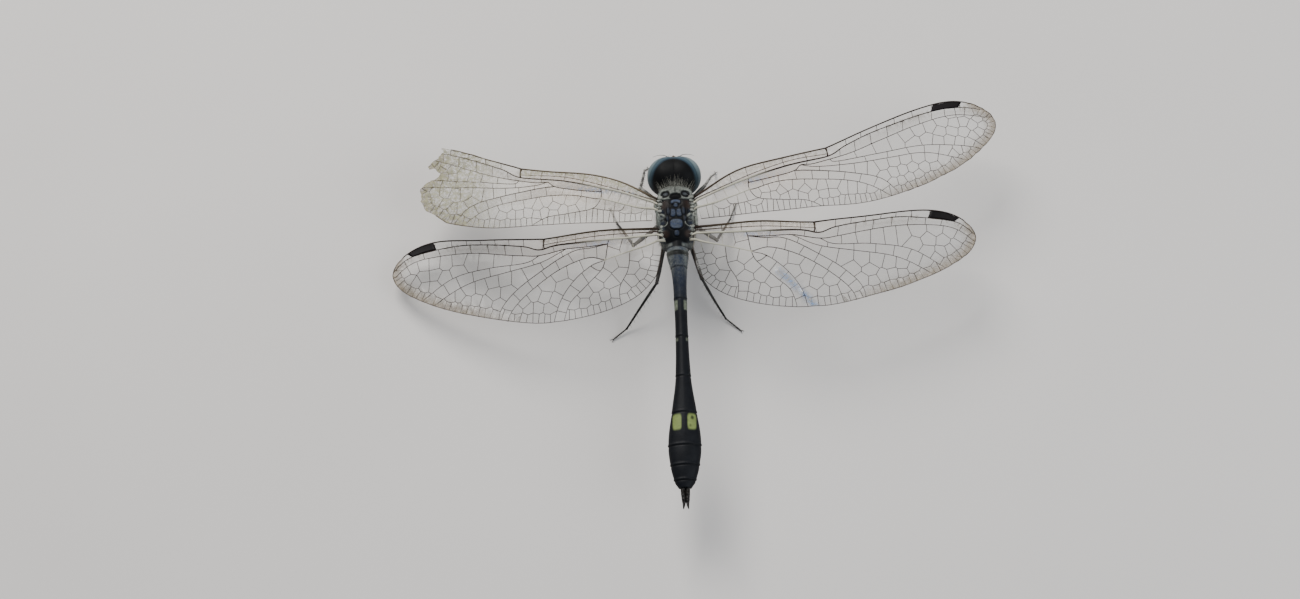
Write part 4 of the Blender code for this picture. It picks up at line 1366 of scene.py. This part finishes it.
LONG_HAIRS, SHORT_HAIRS, FUZZ_HAIRS, BRISTLES = 60, 40, 1500, 130
FLUFF, shader, place = finish("soft_hair", Roughness=0.6, Specular_IOR_Level=0.3)
wear(shader, Base_Color=place.noise(4.0).into(colour(112, 112, 104), colour(162, 162, 152)))
fan = []
for step in range(LONG_HAIRS + SHORT_HAIRS):
    across = (step % LONG_HAIRS + rng.uniform(0.1, 0.9)) / (LONG_HAIRS / 2) - 1
    y = 3.10 - 0.60 * across ** 2 + rng.uniform(-0.22, 0.08)
    root = Vector((across * 1.45, y, 9.22 - 0.45 * across ** 2))
    way = Vector((across * 0.55 + rng.normal(0, 0.12), 1.0, 0.50 + rng.normal(0, 0.12)))
    shortest, longest, radius = (0.7, 1.5, 0.0125) if step < LONG_HAIRS else (0.3, 0.8, 0.009)
    way = way.normalized() * rng.uniform(shortest, longest)
    fan.append((root, way, radius, (across * 0.12, 0.2, -0.30)))
threads("collar_hair", fan, FLUFF)


def rooted(number, way, length, radius, bend):
    """A hair that grows out of one of the skin's points."""
    return spots[number] - facing[number] * 0.02, way / np.linalg.norm(way) * length, radius, bend


fuzz, bristles = [], []
downy = (Y < 3.3) & (Y > -5.5) & (facing[:, 2] < 0.93) & ((ON_BACK < 0.5) | (np.abs(X) > 1.2))
for number in rng.choice(np.flatnonzero(downy), FUZZ_HAIRS, replace=False):
    way = facing[number] + rng.normal(0, 0.35, 3) + (0, -0.25, 0)
    length = rng.uniform(0.22, 0.5) * (1.0 if Y[number] > WAIST.y else 0.6)
    fuzz.append(rooted(number, way, length, 0.007, (0, -0.05, -0.04)))
threads("body_fuzz", fuzz, FLUFF, rings=2)
bristly = (Y > 6.6) & (facing[:, 1] > 0.25) & (Z < 7.7)
for number in rng.choice(np.flatnonzero(bristly), BRISTLES, replace=False):
    way = facing[number] + rng.normal(0, 0.25, 3) + (0, 0, -0.2)
    bristles.append(rooted(number, way, rng.uniform(0.15, 0.4), 0.009, (0, 0, 0.05)))
threads("face_bristles", bristles, HORN, rings=2)

# ---- Floor, light and camera --------------------------------------------------------------
# A plain pale sheet under the feet, two broad soft lamps, and a camera above and behind the
# tail that looks down on the back.

floor = bmesh.new()
bmesh.ops.create_grid(floor, x_segments=1, y_segments=1, size=2500.0)
floor_mesh = mesh_of("floor", floor)
FLOOR, shader, place = finish("floor_card", Roughness=0.75, Specular_IOR_Level=0.2)
wear(shader, Base_Color=place.noise(0.02, 2.0).into(colour(196, 192, 188), colour(208, 204, 200)))
floor_mesh.transform(TO_SOLIDS)
floor_mesh.materials.append(FLOOR)
link("floor", floor_mesh)


def lamp(name, place, target, size, power, tint):
    """A round soft lamp that faces its target."""
    light = bpy.data.lights.new(name, "AREA")
    light.shape = "DISK"
    light.size = size * MM
    light.energy = power
    light.color = tint
    made = link(name, light)
    made.location = TO_SOLIDS @ Vector(place)
    made.rotation_euler = (Vector(target) - Vector(place)).to_track_quat("-Z", "Y").to_euler()


BACK = THORAX_MIDDLE + Vector((0.0, -0.15, 2.25))
lamp("window_lamp", (-120, 260, 330), BACK, 260, 2.6, (1.0, 0.98, 0.95))
lamp("fill_lamp", (260, -120, 260), BACK, 300, 0.9, (0.90, 0.95, 1.0))
world = bpy.data.worlds.new("studio")
world.use_nodes = True
world.node_tree.nodes["Background"].inputs["Color"].default_value = (0.75, 0.80, 0.88, 1.0)
world.node_tree.nodes["Background"].inputs["Strength"].default_value = 0.45
bpy.context.scene.world = world

# The camera looks down steeply from behind the tail, tilted a little to one side, with the top
# of the thorax a little right of the middle of the view and above it.
LOOK_DOWN, CAMERA_TILT = 68, -2.2
CAMERA_DISTANCE = 300.0
BACK_IN_VIEW = Vector((2.63, 8.54, -CAMERA_DISTANCE))
turned = (Matrix.Rotation(math.radians(90 - LOOK_DOWN), 4, "X")
          @ Matrix.Rotation(math.radians(CAMERA_TILT), 4, "Z"))
camera = bpy.data.cameras.new("camera")
camera.sensor_width = 36.0
camera.lens = 82.25
camera.clip_start, camera.clip_end = 0.01, 10.0
viewer = link("camera", camera)
viewer.matrix_world = Matrix.Translation(TO_SOLIDS @ (BACK - turned @ BACK_IN_VIEW)) @ turned
bpy.context.scene.camera = viewer
